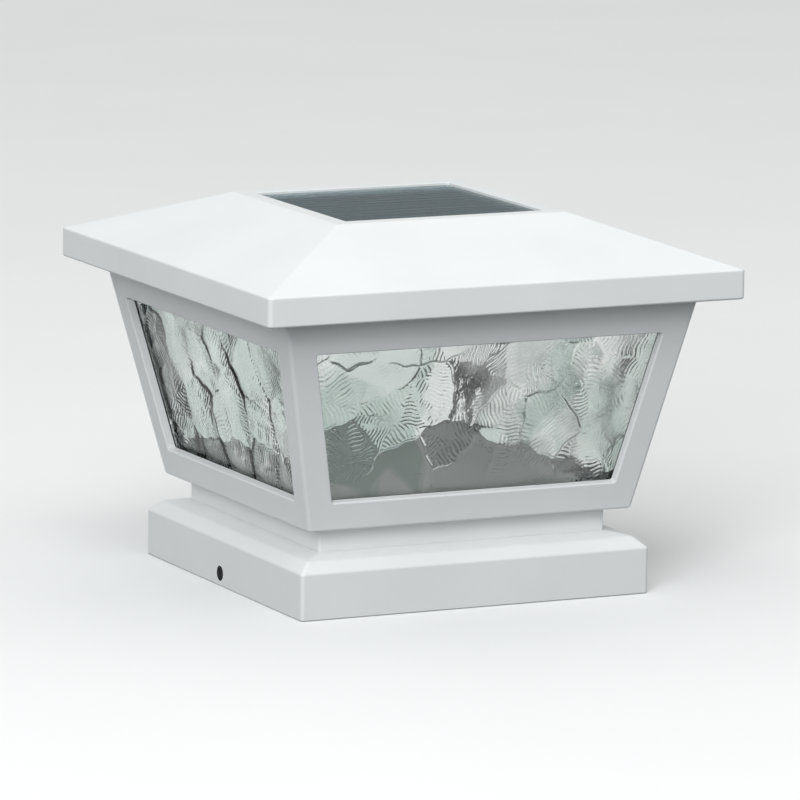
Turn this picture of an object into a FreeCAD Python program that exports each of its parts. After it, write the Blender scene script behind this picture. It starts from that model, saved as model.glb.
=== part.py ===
import FreeCAD, Part
import math
import os
from types import SimpleNamespace

import Sketcher
from FreeCAD import Placement, Rotation, Vector

# A solar light that caps a square deck post, as an assembly of separate pieces. Millimetres.
# +Z is up. The origin is the middle of the skirt's lower rim, on the plane that the rim stands on.
# The front glass faces -Y, the right glass +X, the back glass +Y and the left glass -X.

# ---------------------------------------------------------------- driving dimensions
SIZES = {
    # base skirt: a square socket over the post, with a sloped shoulder above it
    "post_width": 127.0,
    "post_clearance": 1.0,
    "skirt_wall": 2.5,
    "skirt_height": 16.4,
    "socket_depth": 15.4,
    "base_floor": 3.0,
    "bevel_width": 4.0,
    "bevel_rise": 3.6,
    "shoulder_rise": 1.6,
    "skirt_corner": 1.2,
    "side_hole_radius": 2.7,
    "side_hole_level": 4.6,
    "side_hole_offset": 2.0,
    # neck collar
    "neck_width": 110.3,
    "neck_wall": 2.5,
    "neck_show": 8.4,
    "neck_corner": 1.0,
    "fit_gap": 0.15,
    # lantern frame: a square funnel with a floor and an outward flange at the top
    "lantern_bottom_width": 124.5,
    "lantern_top_width": 158.1,
    "lantern_height": 77.1,
    "lantern_wall": 3.0,
    "lantern_floor": 2.5,
    "lantern_corner": 1.2,
    "flange_thickness": 2.0,
    "flange_gap": 0.4,
    "stile_width": 10.0,
    "bottom_rail": 10.3,
    "top_rail": 13.4,
    # glass panes, their seals and their clips
    "glass_thickness": 2.5,
    "seal_thickness": 0.5,
    "glass_lap": 2.5,
    "glass_seat_gap": 0.05,
    "sill_rib_height": 7.0,
    "sill_rib_thickness": 2.0,
    "sill_rib_width": 80.0,
    "rib_gap": 0.3,
    "clip_offset": 28.0,
    "clip_boss_rise": 7.5,
    "clip_boss_radius": 3.0,
    "clip_gap": 0.2,
    "clip_width": 8.0,
    "clip_over": 3.5,
    "clip_thickness": 0.8,
    "clip_screw_radius": 1.2,
    "clip_screw_head": 2.7,
    "clip_screw_head_height": 1.8,
    "clip_screw_length": 5.0,
    # base screws
    "base_screw_inset": 8.65,
    "base_screw_radius": 1.75,
    "base_screw_head": 3.5,
    "base_screw_head_height": 2.2,
    "base_screw_length": 12.4,
    "base_boss_radius": 4.2,
    # roof cap
    "roof_overhang": 11.7,
    "roof_wall": 2.5,
    "roof_corner": 1.6,
    "rim_height": 10.4,
    "rim_drop": 0.5,
    "roof_rise": 16.6,
    "plateau_width": 88.4,
    "plateau_corner": 0.8,
    "roof_screw_out": 3.95,
    "roof_screw_radius": 1.5,
    "roof_screw_head": 2.7,
    "roof_screw_head_height": 1.6,
    "roof_screw_length": 8.0,
    "roof_boss_radius": 3.4,
    "roof_seal_width": 3.0,
    "roof_seal_thickness": 1.0,
    "roof_seal_edge": 0.3,
    "seal_rib_thickness": 1.4,
    # solar panel in the roof's top
    "panel_width": 75.6,
    "panel_gap": 0.4,
    "panel_recess": 0.8,
    "panel_cover_thickness": 1.3,
    "cell_thickness": 0.3,
    "cell_count": 4.0,
    "cell_gap": 0.8,
    "cell_border": 1.2,
    "panel_board_thickness": 1.6,
    "panel_tape_thickness": 0.6,
    "panel_tape_width": 7.0,
    "tray_floor": 2.2,
    "wire_hole_radius": 4.0,
    "wire_hole_back": 26.0,
    # light housing under the roof
    "housing_width": 120.0,
    "housing_wall": 2.0,
    "housing_height": 22.0,
    "wire_room": 4.8,
    "cover_thickness": 2.0,
    "column_inset": 6.0,
    "column_radius": 4.5,
    "housing_screw_radius": 1.5,
    "housing_screw_head": 2.8,
    "housing_screw_head_height": 2.4,
    "housing_screw_sink": 14.0,
    "housing_screw_length": 15.0,
    "housing_boss_radius": 3.75,
    "screw_clearance": 0.2,
    "thread_clearance": 0.05,
    "grommet_bore": 2.6,
    "grommet_lip": 1.6,
    "grommet_lip_thickness": 1.2,
    # circuit board
    "board_half_length": 32.0,
    "board_front_room": 8.0,
    "board_gap": 0.6,
    "board_thickness": 1.6,
    "board_standoff": 4.0,
    "standoff_radius": 2.75,
    "standoff_inset": 4.0,
    "board_screw_radius": 1.1,
    "board_screw_head": 2.1,
    "board_screw_head_height": 1.4,
    "board_screw_length": 4.6,
    "led_width": 3.5,
    "led_height": 1.2,
    "led_offset": 4.5,
    "lens_radius": 11.5,
    "lens_lap": 1.3,
    "lens_flange": 1.5,
    "lens_drop": 3.5,
    "lens_chamfer": 2.0,
    "lens_wall": 1.6,
    "part_offset_x": 10.7,
    "part_from_front": 33.3,
    "chip_width": 8.0,
    "chip_height": 1.3,
    "coil_radius": 3.5,
    "coil_height": 4.5,
    # slide switch
    "switch_from_end": 8.0,
    "switch_from_front": 15.0,
    "switch_length": 10.0,
    "switch_width": 4.4,
    "switch_height": 3.6,
    "knob_length": 3.0,
    "knob_width": 1.8,
    "knob_travel": 3.0,
    "knob_reach": 0.8,
    "knob_gap": 0.2,
    # battery bay, two AA cells side by side
    "cell_radius": 7.25,
    "cell_length": 50.5,
    "cell_nub_radius": 2.75,
    "cell_nub_length": 1.3,
    "cell_pitch": 15.6,
    "cell_play": 0.8,
    "bay_side_play": 0.9,
    "bay_wall": 1.6,
    "spring_room": 4.9,
    "spring_radius": 3.0,
    "spring_wire": 0.35,
    "spring_pitch": 1.05,
    "contact_thickness": 0.5,
    "contact_height": 12.0,
    # battery door
    "door_lap": 3.6,
    "door_gap": 0.4,
    "door_seat_gap": 0.2,
    "door_thickness": 2.0,
    "lug_reach": 4.0,
    "lug_gap": 0.8,
    "hinge_inset": 4.5,
    "hinge_back": 4.6,
    "hinge_half_length": 26.0,
    "knuckle_radius": 2.0,
    "pivot_radius": 1.3,
    "pivot_length": 3.0,
    "pivot_clearance": 0.05,
    # wires
    "panel_wire_radius": 0.75,
    "battery_wire_radius": 0.7,
    "wire_spread": 1.1,
    "wire_bend_room": 4.5,
    "panel_pad_x": 8.0,
    "panel_pad_front": 8.0,
    "red_wire_out": 12.0,
    "red_wire_front": 0.0,
    "black_wire_out": 6.0,
    "black_wire_front": 8.0,
    "wire_hole_gap": 0.3,
    # how far a cut runs past what it cuts, and how far a blind hole runs past its screw
    "cut_over": 1.0,
    "hole_spare": 0.4,
}


class Size:
    """A size that carries its number and the formula that ties it to the sheet."""

    def __init__(self, number, formula):
        self.number = float(number)
        self.formula = formula

    def __add__(self, other):
        other = as_size(other)
        return Size(self.number + other.number, f"({self.formula} + {other.formula})")

    def __sub__(self, other):
        other = as_size(other)
        return Size(self.number - other.number, f"({self.formula} - {other.formula})")

    def __mul__(self, other):
        other = as_size(other)
        return Size(self.number * other.number, f"({self.formula} * {other.formula})")

    def __truediv__(self, other):
        other = as_size(other)
        return Size(self.number / other.number, f"({self.formula} / {other.formula})")

    def __radd__(self, other):
        return as_size(other) + self

    def __rsub__(self, other):
        return as_size(other) - self

    def __rmul__(self, other):
        return as_size(other) * self

    def __neg__(self):
        return Size(-self.number, f"(0 - {self.formula})")


def as_size(value):
    """A plain number becomes a size whose formula is that number."""
    if isinstance(value, Size):
        return value
    return Size(value, f"({float(value)})")


def root(value):
    """Square root of a size."""
    return Size(math.sqrt(value.number), f"sqrt({value.formula})")


def angle_of(rise, run):
    """Angle in degrees whose tangent is rise over run."""
    ratio = rise / run
    return Size(math.degrees(math.atan(ratio.number)), f"atan({ratio.formula})")


# ---------------------------------------------------------------- document and sheet
doc = FreeCAD.newDocument("PostCapLight")
sheet = doc.addObject("Spreadsheet::Sheet", "Sizes")
for row, (alias, number) in enumerate(SIZES.items(), start=1):
    sheet.set(f"A{row}", alias)
    sheet.set(f"B{row}", str(number))
    sheet.setAlias(f"B{row}", alias)
doc.recompute()
S = SimpleNamespace(**{alias: Size(number, f"Sizes.{alias}") for alias, number in SIZES.items()})

nodes = {}


# ---------------------------------------------------------------- helpers
def keep(item, name):
    """Names a finished sub-part, which is written to its own file."""
    item.Label = name
    nodes[name] = item
    return item


def bind(item, prop, value):
    """Binds one property to a size's formula."""
    item.setExpression(prop, as_size(value).formula)


def new_body(name):
    return doc.addObject("PartDesign::Body", name)


def origin_part(body, role):
    """A plane or axis of the body's own origin."""
    for feature in body.Origin.OriginFeatures:
        if feature.Role == role:
            return feature
    raise ValueError(role)


def sketch_on(body, name, role="XY_Plane", shift=(0, 0, 0), tilt=None):
    """A sketch on an origin plane, shifted in the plane's own axes and tilted about its first axis."""
    sketch = body.newObject("Sketcher::SketchObject", f"{body.Name}_{name}")
    sketch.AttachmentSupport = (origin_part(body, role), [""])
    sketch.MapMode = "FlatFace"
    place = [as_size(value) for value in shift]
    angle = as_size(0 if tilt is None else tilt)
    turn = Rotation(Vector(1, 0, 0), angle.number)
    sketch.AttachmentOffset = Placement(Vector(*(value.number for value in place)), turn)
    for letter, value in zip("xyz", place):
        bind(sketch, f"AttachmentOffset.Base.{letter}", value)
    if tilt is not None:
        bind(sketch, "AttachmentOffset.Rotation.Angle", angle)
    return sketch


def level_sketch(body, name, level):
    """A horizontal sketch at a height."""
    return sketch_on(body, name, "XY_Plane", (0, 0, level))


def hold(sketch, kind, geometry, point, value):
    """Holds a point's distance from the sketch's origin along one axis."""
    value = as_size(value)
    index = sketch.addConstraint(Sketcher.Constraint(kind, -1, 1, geometry, point, value.number))
    bind(sketch, f"Constraints[{index}]", value)


def hold_radius(sketch, geometry, radius):
    index = sketch.addConstraint(Sketcher.Constraint("Radius", geometry, radius.number))
    bind(sketch, f"Constraints[{index}]", radius)


def add_outline(sketch, points):
    """A closed outline of straight lines through the points."""
    first = sketch.GeometryCount
    count = len(points)
    corners = [Vector(as_size(x).number, as_size(y).number, 0) for x, y in points]
    for index in range(count):
        line = Part.LineSegment(corners[index], corners[(index + 1) % count])
        sketch.addGeometry(line, False)
    for index in range(count):
        follower = first + (index + 1) % count
        sketch.addConstraint(Sketcher.Constraint("Coincident", first + index, 2, follower, 1))
    for index, (x, y) in enumerate(points):
        hold(sketch, "DistanceX", first + index, 1, x)
        hold(sketch, "DistanceY", first + index, 1, y)


def add_box(sketch, x_low, x_high, y_low, y_high):
    add_outline(sketch, [(x_low, y_low), (x_high, y_low), (x_high, y_high), (x_low, y_high)])


def add_square(sketch, half):
    add_box(sketch, -half, half, -half, half)


def add_round_square(sketch, half, radius):
    """A centred square with round corners: four lines, each followed by a quarter arc."""
    first = sketch.GeometryCount
    flat = half - radius
    starts = [(-flat, -half), (half, -flat), (flat, half), (-half, flat)]
    ends = [(flat, -half), (half, flat), (-flat, half), (-half, -flat)]
    centres = [(flat, -flat), (flat, flat), (-flat, flat), (-flat, -flat)]
    for side in range(4):
        start = Vector(starts[side][0].number, starts[side][1].number, 0)
        end = Vector(ends[side][0].number, ends[side][1].number, 0)
        centre = Vector(centres[side][0].number, centres[side][1].number, 0)
        circle = Part.Circle(centre, Vector(0, 0, 1), radius.number)
        turned = math.radians(90 * side - 90)
        sketch.addGeometry(Part.LineSegment(start, end), False)
        sketch.addGeometry(Part.ArcOfCircle(circle, turned, turned + math.pi / 2), False)
    for side in range(4):
        line = first + 2 * side
        following = first + (2 * side + 2) % 8
        sketch.addConstraint(Sketcher.Constraint("Coincident", line, 2, line + 1, 1))
        sketch.addConstraint(Sketcher.Constraint("Coincident", line + 1, 2, following, 1))
        hold(sketch, "DistanceX", line, 1, starts[side][0])
        hold(sketch, "DistanceY", line, 1, starts[side][1])
        hold(sketch, "DistanceX", line, 2, ends[side][0])
        hold(sketch, "DistanceY", line, 2, ends[side][1])
        hold_radius(sketch, line + 1, radius)


def add_circle(sketch, x, y, radius):
    x = as_size(x)
    y = as_size(y)
    circle = Part.Circle(Vector(x.number, y.number, 0), Vector(0, 0, 1), radius.number)
    geometry = sketch.addGeometry(circle, False)
    hold(sketch, "DistanceX", geometry, 3, x)
    hold(sketch, "DistanceY", geometry, 3, y)
    hold_radius(sketch, geometry, radius)


def add_four_circles(sketch, offset, radius):
    """Four circles at the corners of a centred square."""
    for x_sign, y_sign in ((-1, -1), (1, -1), (1, 1), (-1, 1)):
        add_circle(sketch, offset * x_sign, offset * y_sign, radius)


def extrude(kind, body, sketch, length, reverse):
    feature = body.newObject(kind, f"{sketch.Name}_run")
    feature.Profile = sketch
    bind(feature, "Length", length)
    feature.Reversed = reverse
    return feature


def pad(body, sketch, length, reverse=False):
    """Adds material along the sketch's normal, or against it."""
    return extrude("PartDesign::Pad", body, sketch, length, reverse)


def cut_up(body, sketch, length):
    """Removes material along the sketch's normal."""
    return extrude("PartDesign::Pocket", body, sketch, length, True)


def cut_down(body, sketch, length):
    """Removes material against the sketch's normal."""
    return extrude("PartDesign::Pocket", body, sketch, length, False)


def loft(body, lower, upper, kind="Additive"):
    """A straight-sided loft between two like sketches."""
    feature = body.newObject(f"PartDesign::{kind}Loft", f"{lower.Name}_loft")
    feature.Profile = lower
    feature.Sections = [upper]
    feature.Ruled = True
    return feature


def spin(body, sketch, axis="V_Axis"):
    """A full turn of the sketch about one of its own axes."""
    feature = body.newObject("PartDesign::Revolution", f"{sketch.Name}_turn")
    feature.Profile = sketch
    feature.ReferenceAxis = (sketch, [axis])
    feature.Angle = 360
    return feature


def four_ways(body, features):
    """Repeats features on all four sides of the lantern."""
    pattern = body.newObject("PartDesign::PolarPattern", f"{features[0].Name}_ways")
    pattern.Originals = features
    pattern.Axis = (origin_part(body, "Z_Axis"), [""])
    pattern.Angle = 360
    pattern.Occurrences = 4
    body.Tip = pattern
    return pattern


def plain_box(name, low, high):
    """A box between two corners."""
    box = doc.addObject("Part::Box", name)
    for prop, start, end in zip(("Length", "Width", "Height"), low, high):
        bind(box, prop, as_size(end) - start)
    for letter, start in zip("xyz", low):
        bind(box, f"Placement.Base.{letter}", start)
    return box


def upright_cylinder(name, x, y, low, high, radius):
    cylinder = doc.addObject("Part::Cylinder", name)
    bind(cylinder, "Radius", radius)
    bind(cylinder, "Height", high - low)
    for letter, start in zip("xyz", (x, y, low)):
        bind(cylinder, f"Placement.Base.{letter}", start)
    return cylinder


def group(name, items):
    """Like pieces that share one node as separate solids."""
    compound = doc.addObject("Part::Compound", f"{name}_group")
    compound.Links = items
    return keep(compound, name)


def screw_outline(bottom, head_radius, head_height, radius, length, sunk=False):
    """Half of a screw with its head below: a straight head, or a cone where it is sunk flush."""
    under = bottom + head_height
    points = [(0, bottom), (head_radius, bottom)]
    if not sunk:
        points.append((head_radius, under))
    return points + [(radius, under), (radius, under + length), (0, under + length)]


def corner_sketch(body, name, offset):
    """An upright sketch whose vertical axis stands at one corner of a centred square."""
    return sketch_on(body, name, "XZ_Plane", (offset, 0, offset))


def corner_screws(name, offset, points):
    """Four upright screws at the corners of a centred square."""
    body = new_body(name)
    sketch = corner_sketch(body, "profile", offset)
    add_outline(sketch, points)
    four_ways(body, [spin(body, sketch)])
    return keep(body, name)


# ---------------------------------------------------------------- levels and widths, bottom to top
skirt_half = S.post_width / 2 + S.post_clearance + S.skirt_wall
socket_half = skirt_half - S.skirt_wall
base_floor_top = S.socket_depth + S.base_floor
bevel_top = S.skirt_height + S.bevel_rise
shoulder_half = skirt_half - S.bevel_width
shoulder_top = bevel_top + S.shoulder_rise
neck_half = S.neck_width / 2
neck_seat_half = neck_half + S.fit_gap
base_screw_offset = neck_half - S.neck_wall - S.base_screw_inset

lantern_level = shoulder_top + S.neck_show
flange_level = lantern_level + S.lantern_height
flange_top = flange_level + S.flange_thickness
lantern_floor_top = lantern_level + S.lantern_floor
bottom_half = S.lantern_bottom_width / 2
top_half = S.lantern_top_width / 2
flare = top_half - bottom_half
lean = angle_of(flare, S.lantern_height)
face_length = root(flare * flare + S.lantern_height * S.lantern_height)
lean_sine = flare / face_length
lean_cosine = S.lantern_height / face_length
wall_across = S.lantern_wall / lean_cosine


def frame_half(level):
    """Half the lantern's outer width at a height."""
    return bottom_half + (level - lantern_level) * flare / S.lantern_height


roof_half = top_half + S.roof_overhang
roof_screw_offset = top_half + S.roof_screw_out
roof_inner_half = roof_half - S.roof_wall
flange_half = roof_inner_half - S.flange_gap
eave_level = flange_level - S.rim_drop
rim_top = eave_level + S.rim_height
plateau_level = rim_top + S.roof_rise
plateau_half = S.plateau_width / 2
plateau_under = plateau_level - S.roof_wall
hip_slope = S.roof_rise / (roof_half - plateau_half)
hip_wall = S.roof_wall * root(1 + hip_slope * hip_slope)
inner_hip_level = rim_top + S.roof_wall * hip_slope - hip_wall
inner_plateau_half = roof_inner_half - (plateau_under - inner_hip_level) / hip_slope
roof_seal_low_half = frame_half(flange_top) - wall_across + S.roof_seal_edge
roof_seal_half = roof_seal_low_half + S.roof_seal_width

panel_half = S.panel_width / 2
panel_pocket_half = panel_half + S.panel_gap
cover_low = plateau_level - S.panel_recess - S.panel_cover_thickness
cells_low = cover_low - S.cell_thickness
panel_board_low = cells_low - S.panel_board_thickness
pocket_floor = panel_board_low - S.panel_tape_thickness
tray_under = pocket_floor - S.tray_floor
tray_half = panel_pocket_half + S.roof_wall

housing_half = S.housing_width / 2
column_offset = housing_half - S.column_inset
cover_top = tray_under - S.wire_room
housing_top = cover_top - S.cover_thickness
housing_bottom = housing_top - S.housing_height
housing_floor = housing_bottom + S.housing_wall
board_low = housing_floor + S.board_standoff
board_top = board_low + S.board_thickness

# the battery bay opens downwards under its door, at the housing's back
door_top = housing_bottom + S.door_thickness
door_seat = door_top + S.door_seat_gap
battery_level = door_top + S.cell_play + S.cell_radius
bay_ceiling = battery_level + S.cell_radius + S.cell_play
bay_top = bay_ceiling + S.bay_wall
bay_half = (S.cell_length + S.spring_room) / 2 + S.contact_thickness
hinge_y = housing_half - S.hinge_inset
bay_back = hinge_y - S.hinge_back
back_cell_y = bay_back - S.bay_side_play - S.cell_radius
front_cell_y = back_cell_y - S.cell_pitch
bay_front = front_cell_y - S.cell_radius - S.bay_side_play
door_half = bay_half + S.door_lap
door_front = bay_front - S.door_lap
tub_half = door_half + S.door_gap + S.bay_wall
tub_front = door_front - S.door_gap - S.bay_wall
door_plate_back = hinge_y - S.lug_reach
lug_front = door_plate_back + S.lug_gap
trough_back = hinge_y + S.knuckle_radius + S.door_gap
trough_top = door_top + S.knuckle_radius + S.door_gap
board_back = tub_front - S.board_gap
board_front = S.housing_wall + S.board_front_room - housing_half
switch_x = S.switch_from_end - S.board_half_length
switch_y = board_front + S.switch_from_front
wire_hole_y = -S.wire_hole_back


# ---------------------------------------------------------------- base skirt and neck
def make_base_skirt():
    """The casting that drops over the post: skirt, bevel, sloped shoulder and floor."""
    body = new_body("base_skirt")
    rim = level_sketch(body, "rim", 0)
    add_round_square(rim, skirt_half, S.skirt_corner)
    pad(body, rim, S.skirt_height)
    bevel_low = level_sketch(body, "bevel_low", S.skirt_height)
    add_round_square(bevel_low, skirt_half, S.skirt_corner)
    bevel_high = level_sketch(body, "bevel_high", bevel_top)
    add_round_square(bevel_high, shoulder_half, S.skirt_corner)
    loft(body, bevel_low, bevel_high)
    shoulder_low = level_sketch(body, "shoulder_low", bevel_top)
    add_round_square(shoulder_low, shoulder_half, S.skirt_corner)
    shoulder_high = level_sketch(body, "shoulder_high", shoulder_top)
    add_round_square(shoulder_high, neck_seat_half, S.neck_corner)
    loft(body, shoulder_low, shoulder_high)
    socket = level_sketch(body, "socket", 0)
    add_square(socket, socket_half)
    cut_up(body, socket, S.socket_depth)
    seat = level_sketch(body, "neck_seat", shoulder_top)
    add_square(seat, neck_seat_half)
    cut_down(body, seat, shoulder_top - base_floor_top)
    side_hole = sketch_on(body, "side_hole", "YZ_Plane", (0, 0, skirt_half + S.cut_over))
    add_circle(side_hole, S.side_hole_offset, S.side_hole_level, S.side_hole_radius)
    cut_down(body, side_hole, (skirt_half + S.cut_over) * 2)
    sink = corner_sketch(body, "screw_sink", base_screw_offset)
    wide = S.base_screw_head + S.screw_clearance
    narrow = S.base_screw_radius + S.screw_clearance
    under = S.socket_depth + S.base_screw_head_height
    low = S.socket_depth
    high = base_floor_top + S.cut_over
    add_outline(sink, [(0, low), (wide, low), (narrow, under), (narrow, high), (0, high)])
    groove = body.newObject("PartDesign::Groove", "screw_sink_turn")
    groove.Profile = sink
    groove.ReferenceAxis = (sink, ["V_Axis"])
    groove.Angle = 360
    four_ways(body, [groove])
    keep(body, "base_skirt")


def make_neck_collar():
    """The square tube between the base floor and the lantern floor."""
    body = new_body("neck_collar")
    ring = level_sketch(body, "ring", base_floor_top)
    add_round_square(ring, neck_half, S.neck_corner)
    add_square(ring, neck_half - S.neck_wall)
    pad(body, ring, lantern_level - base_floor_top)
    keep(body, "neck_collar")


def make_base_screws():
    """Four countersunk screws, flush with the socket's ceiling, into the lantern's floor bosses."""
    outline = screw_outline(
        S.socket_depth,
        S.base_screw_head,
        S.base_screw_head_height,
        S.base_screw_radius,
        S.base_screw_length,
        sunk=True,
    )
    corner_screws("base_screws", base_screw_offset, outline)


# ---------------------------------------------------------------- lantern frame
glass_outer_depth = S.lantern_wall + S.seal_thickness
glass_inner_depth = glass_outer_depth + S.glass_thickness
clip_depth = glass_inner_depth + S.clip_gap
clip_back_depth = clip_depth + S.clip_thickness
window_top = face_length - S.top_rail
glass_bottom = (S.lantern_floor + S.glass_seat_gap - glass_outer_depth * lean_sine) / lean_cosine
glass_top = window_top + S.glass_lap
clip_row = window_top + S.clip_boss_rise
clip_screw_hole = S.clip_screw_length - S.clip_thickness + S.hole_spare


def side_sketch(body, name, depth):
    """A sketch parallel to the front face, so deep inside it: x across, y up the slope."""
    shift = (0, lantern_level + depth * lean_sine, bottom_half - depth * lean_cosine)
    return sketch_on(body, name, "XZ_Plane", shift, lean)


def add_trapezium(sketch, low, high, inset):
    """A trapezium between two distances up the slope, whose ends stay at one inset from the corners."""
    low_half = bottom_half + low * lean_sine - inset
    high_half = bottom_half + high * lean_sine - inset
    add_outline(sketch, [(-low_half, low), (low_half, low), (high_half, high), (-high_half, high)])


def add_clip_circles(sketch, radius):
    add_circle(sketch, -S.clip_offset, clip_row, radius)
    add_circle(sketch, S.clip_offset, clip_row, radius)


def make_lantern_frame():
    """The tapered casting: four faces with windows, floor, floor bosses, sill ribs and top flange."""
    body = new_body("lantern_frame")
    low = level_sketch(body, "low", lantern_level)
    add_round_square(low, bottom_half, S.lantern_corner)
    high = level_sketch(body, "high", flange_level)
    add_round_square(high, top_half, S.lantern_corner)
    loft(body, low, high)
    flange = level_sketch(body, "flange", flange_level)
    add_round_square(flange, flange_half, S.lantern_corner)
    pad(body, flange, S.flange_thickness)
    inner_low = level_sketch(body, "inner_low", lantern_floor_top)
    add_square(inner_low, frame_half(lantern_floor_top) - wall_across)
    inner_high = level_sketch(body, "inner_high", flange_top)
    add_square(inner_high, frame_half(flange_top) - wall_across)
    loft(body, inner_low, inner_high, "Subtractive")

    bosses = level_sketch(body, "floor_bosses", base_floor_top)
    add_four_circles(bosses, base_screw_offset, S.base_boss_radius)
    pad(body, bosses, lantern_level - base_floor_top + S.lantern_floor / 2)
    boss_holes = level_sketch(body, "floor_boss_holes", base_floor_top)
    add_four_circles(boss_holes, base_screw_offset, S.base_screw_radius + S.thread_clearance)
    screw_end = S.socket_depth + S.base_screw_head_height + S.base_screw_length
    cut_up(body, boss_holes, screw_end + S.hole_spare - base_floor_top)
    flange_holes = level_sketch(body, "flange_holes", flange_level)
    add_four_circles(flange_holes, roof_screw_offset, S.roof_screw_radius + S.screw_clearance)
    cut_up(body, flange_holes, S.flange_thickness)

    window = side_sketch(body, "window", -S.cut_over)
    add_trapezium(window, S.bottom_rail, window_top, S.stile_width)
    window_cut = cut_down(body, window, S.lantern_wall + S.cut_over * 2)
    four_ways(body, [window_cut])
    rib_depth = glass_inner_depth + S.rib_gap
    rib = side_sketch(body, "sill_rib", rib_depth)
    rib_half = S.sill_rib_width / 2
    rib_low = (S.lantern_floor / 2 - rib_depth * lean_sine) / lean_cosine
    add_box(rib, -rib_half, rib_half, rib_low, rib_low + S.sill_rib_height)
    rib_pad = pad(body, rib, S.sill_rib_thickness, reverse=True)
    four_ways(body, [rib_pad])
    clip_boss = side_sketch(body, "clip_boss", S.lantern_wall / 2)
    add_clip_circles(clip_boss, S.clip_boss_radius)
    clip_boss_pad = pad(body, clip_boss, clip_depth - S.lantern_wall / 2, reverse=True)
    four_ways(body, [clip_boss_pad])
    clip_hole = side_sketch(body, "clip_hole", clip_depth)
    add_clip_circles(clip_hole, S.clip_screw_radius + S.thread_clearance)
    clip_hole_cut = cut_up(body, clip_hole, clip_screw_hole)
    four_ways(body, [clip_hole_cut])
    keep(body, "lantern_frame")


def turned(body, quarter):
    """Turns a front piece to its own side of the lantern."""
    body.Placement = Placement(Vector(0, 0, 0), Rotation(Vector(0, 0, 1), 90 * quarter))


def make_glass_and_seals():
    """A pane and its foam seal behind each window, each made at the front and turned to its side."""
    for quarter, side in enumerate(("front", "right", "back", "left")):
        pane = new_body(f"glass_{side}")
        outline = side_sketch(pane, "outline", glass_outer_depth)
        add_trapezium(outline, glass_bottom, glass_top, S.stile_width - S.glass_lap)
        pad(pane, outline, S.glass_thickness, reverse=True)
        turned(pane, quarter)
        keep(pane, f"glass_{side}")
        seal = new_body(f"glass_seal_{side}")
        ring = side_sketch(seal, "ring", S.lantern_wall)
        seal_bottom = S.bottom_rail - S.glass_lap
        add_trapezium(ring, seal_bottom, glass_top, S.stile_width - S.glass_lap)
        add_trapezium(ring, S.bottom_rail, window_top, S.stile_width)
        pad(seal, ring, S.seal_thickness, reverse=True)
        turned(seal, quarter)
        keep(seal, f"glass_seal_{side}")


def make_glass_clips():
    """Eight flat clips that hold the panes' top edges, two on each side, and their screws."""
    clips = new_body("glass_clips")
    plate = side_sketch(clips, "plate", clip_depth)
    half = S.clip_width / 2
    for centre in (-S.clip_offset, S.clip_offset):
        add_box(plate, centre - half, centre + half, window_top, clip_row + S.clip_over)
    add_clip_circles(plate, S.clip_screw_radius + S.screw_clearance)
    four_ways(clips, [pad(clips, plate, S.clip_thickness, reverse=True)])
    keep(clips, "glass_clips")
    screws = new_body("glass_clip_screws")
    head = side_sketch(screws, "head", clip_back_depth)
    add_clip_circles(head, S.clip_screw_head)
    head_pad = pad(screws, head, S.clip_screw_head_height, reverse=True)
    shank = side_sketch(screws, "shank", clip_back_depth)
    add_clip_circles(shank, S.clip_screw_radius)
    shank_pad = pad(screws, shank, S.clip_screw_length)
    four_ways(screws, [head_pad, shank_pad])
    keep(screws, "glass_clip_screws")


# ---------------------------------------------------------------- roof
def make_roof_seal():
    """The foam ring on the lantern's flange, under the roof's rib."""
    body = new_body("roof_seal")
    ring = level_sketch(body, "ring", flange_top)
    add_square(ring, roof_seal_half)
    add_square(ring, roof_seal_low_half)
    pad(body, ring, S.roof_seal_thickness)
    keep(body, "roof_seal")


def make_roof_screws():
    """Four captive screws under the eaves, up through the flange into the roof's corner bosses."""
    outline = screw_outline(
        flange_level - S.roof_screw_head_height,
        S.roof_screw_head,
        S.roof_screw_head_height,
        S.roof_screw_radius,
        S.roof_screw_length,
    )
    corner_screws("roof_screws", roof_screw_offset, outline)


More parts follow.
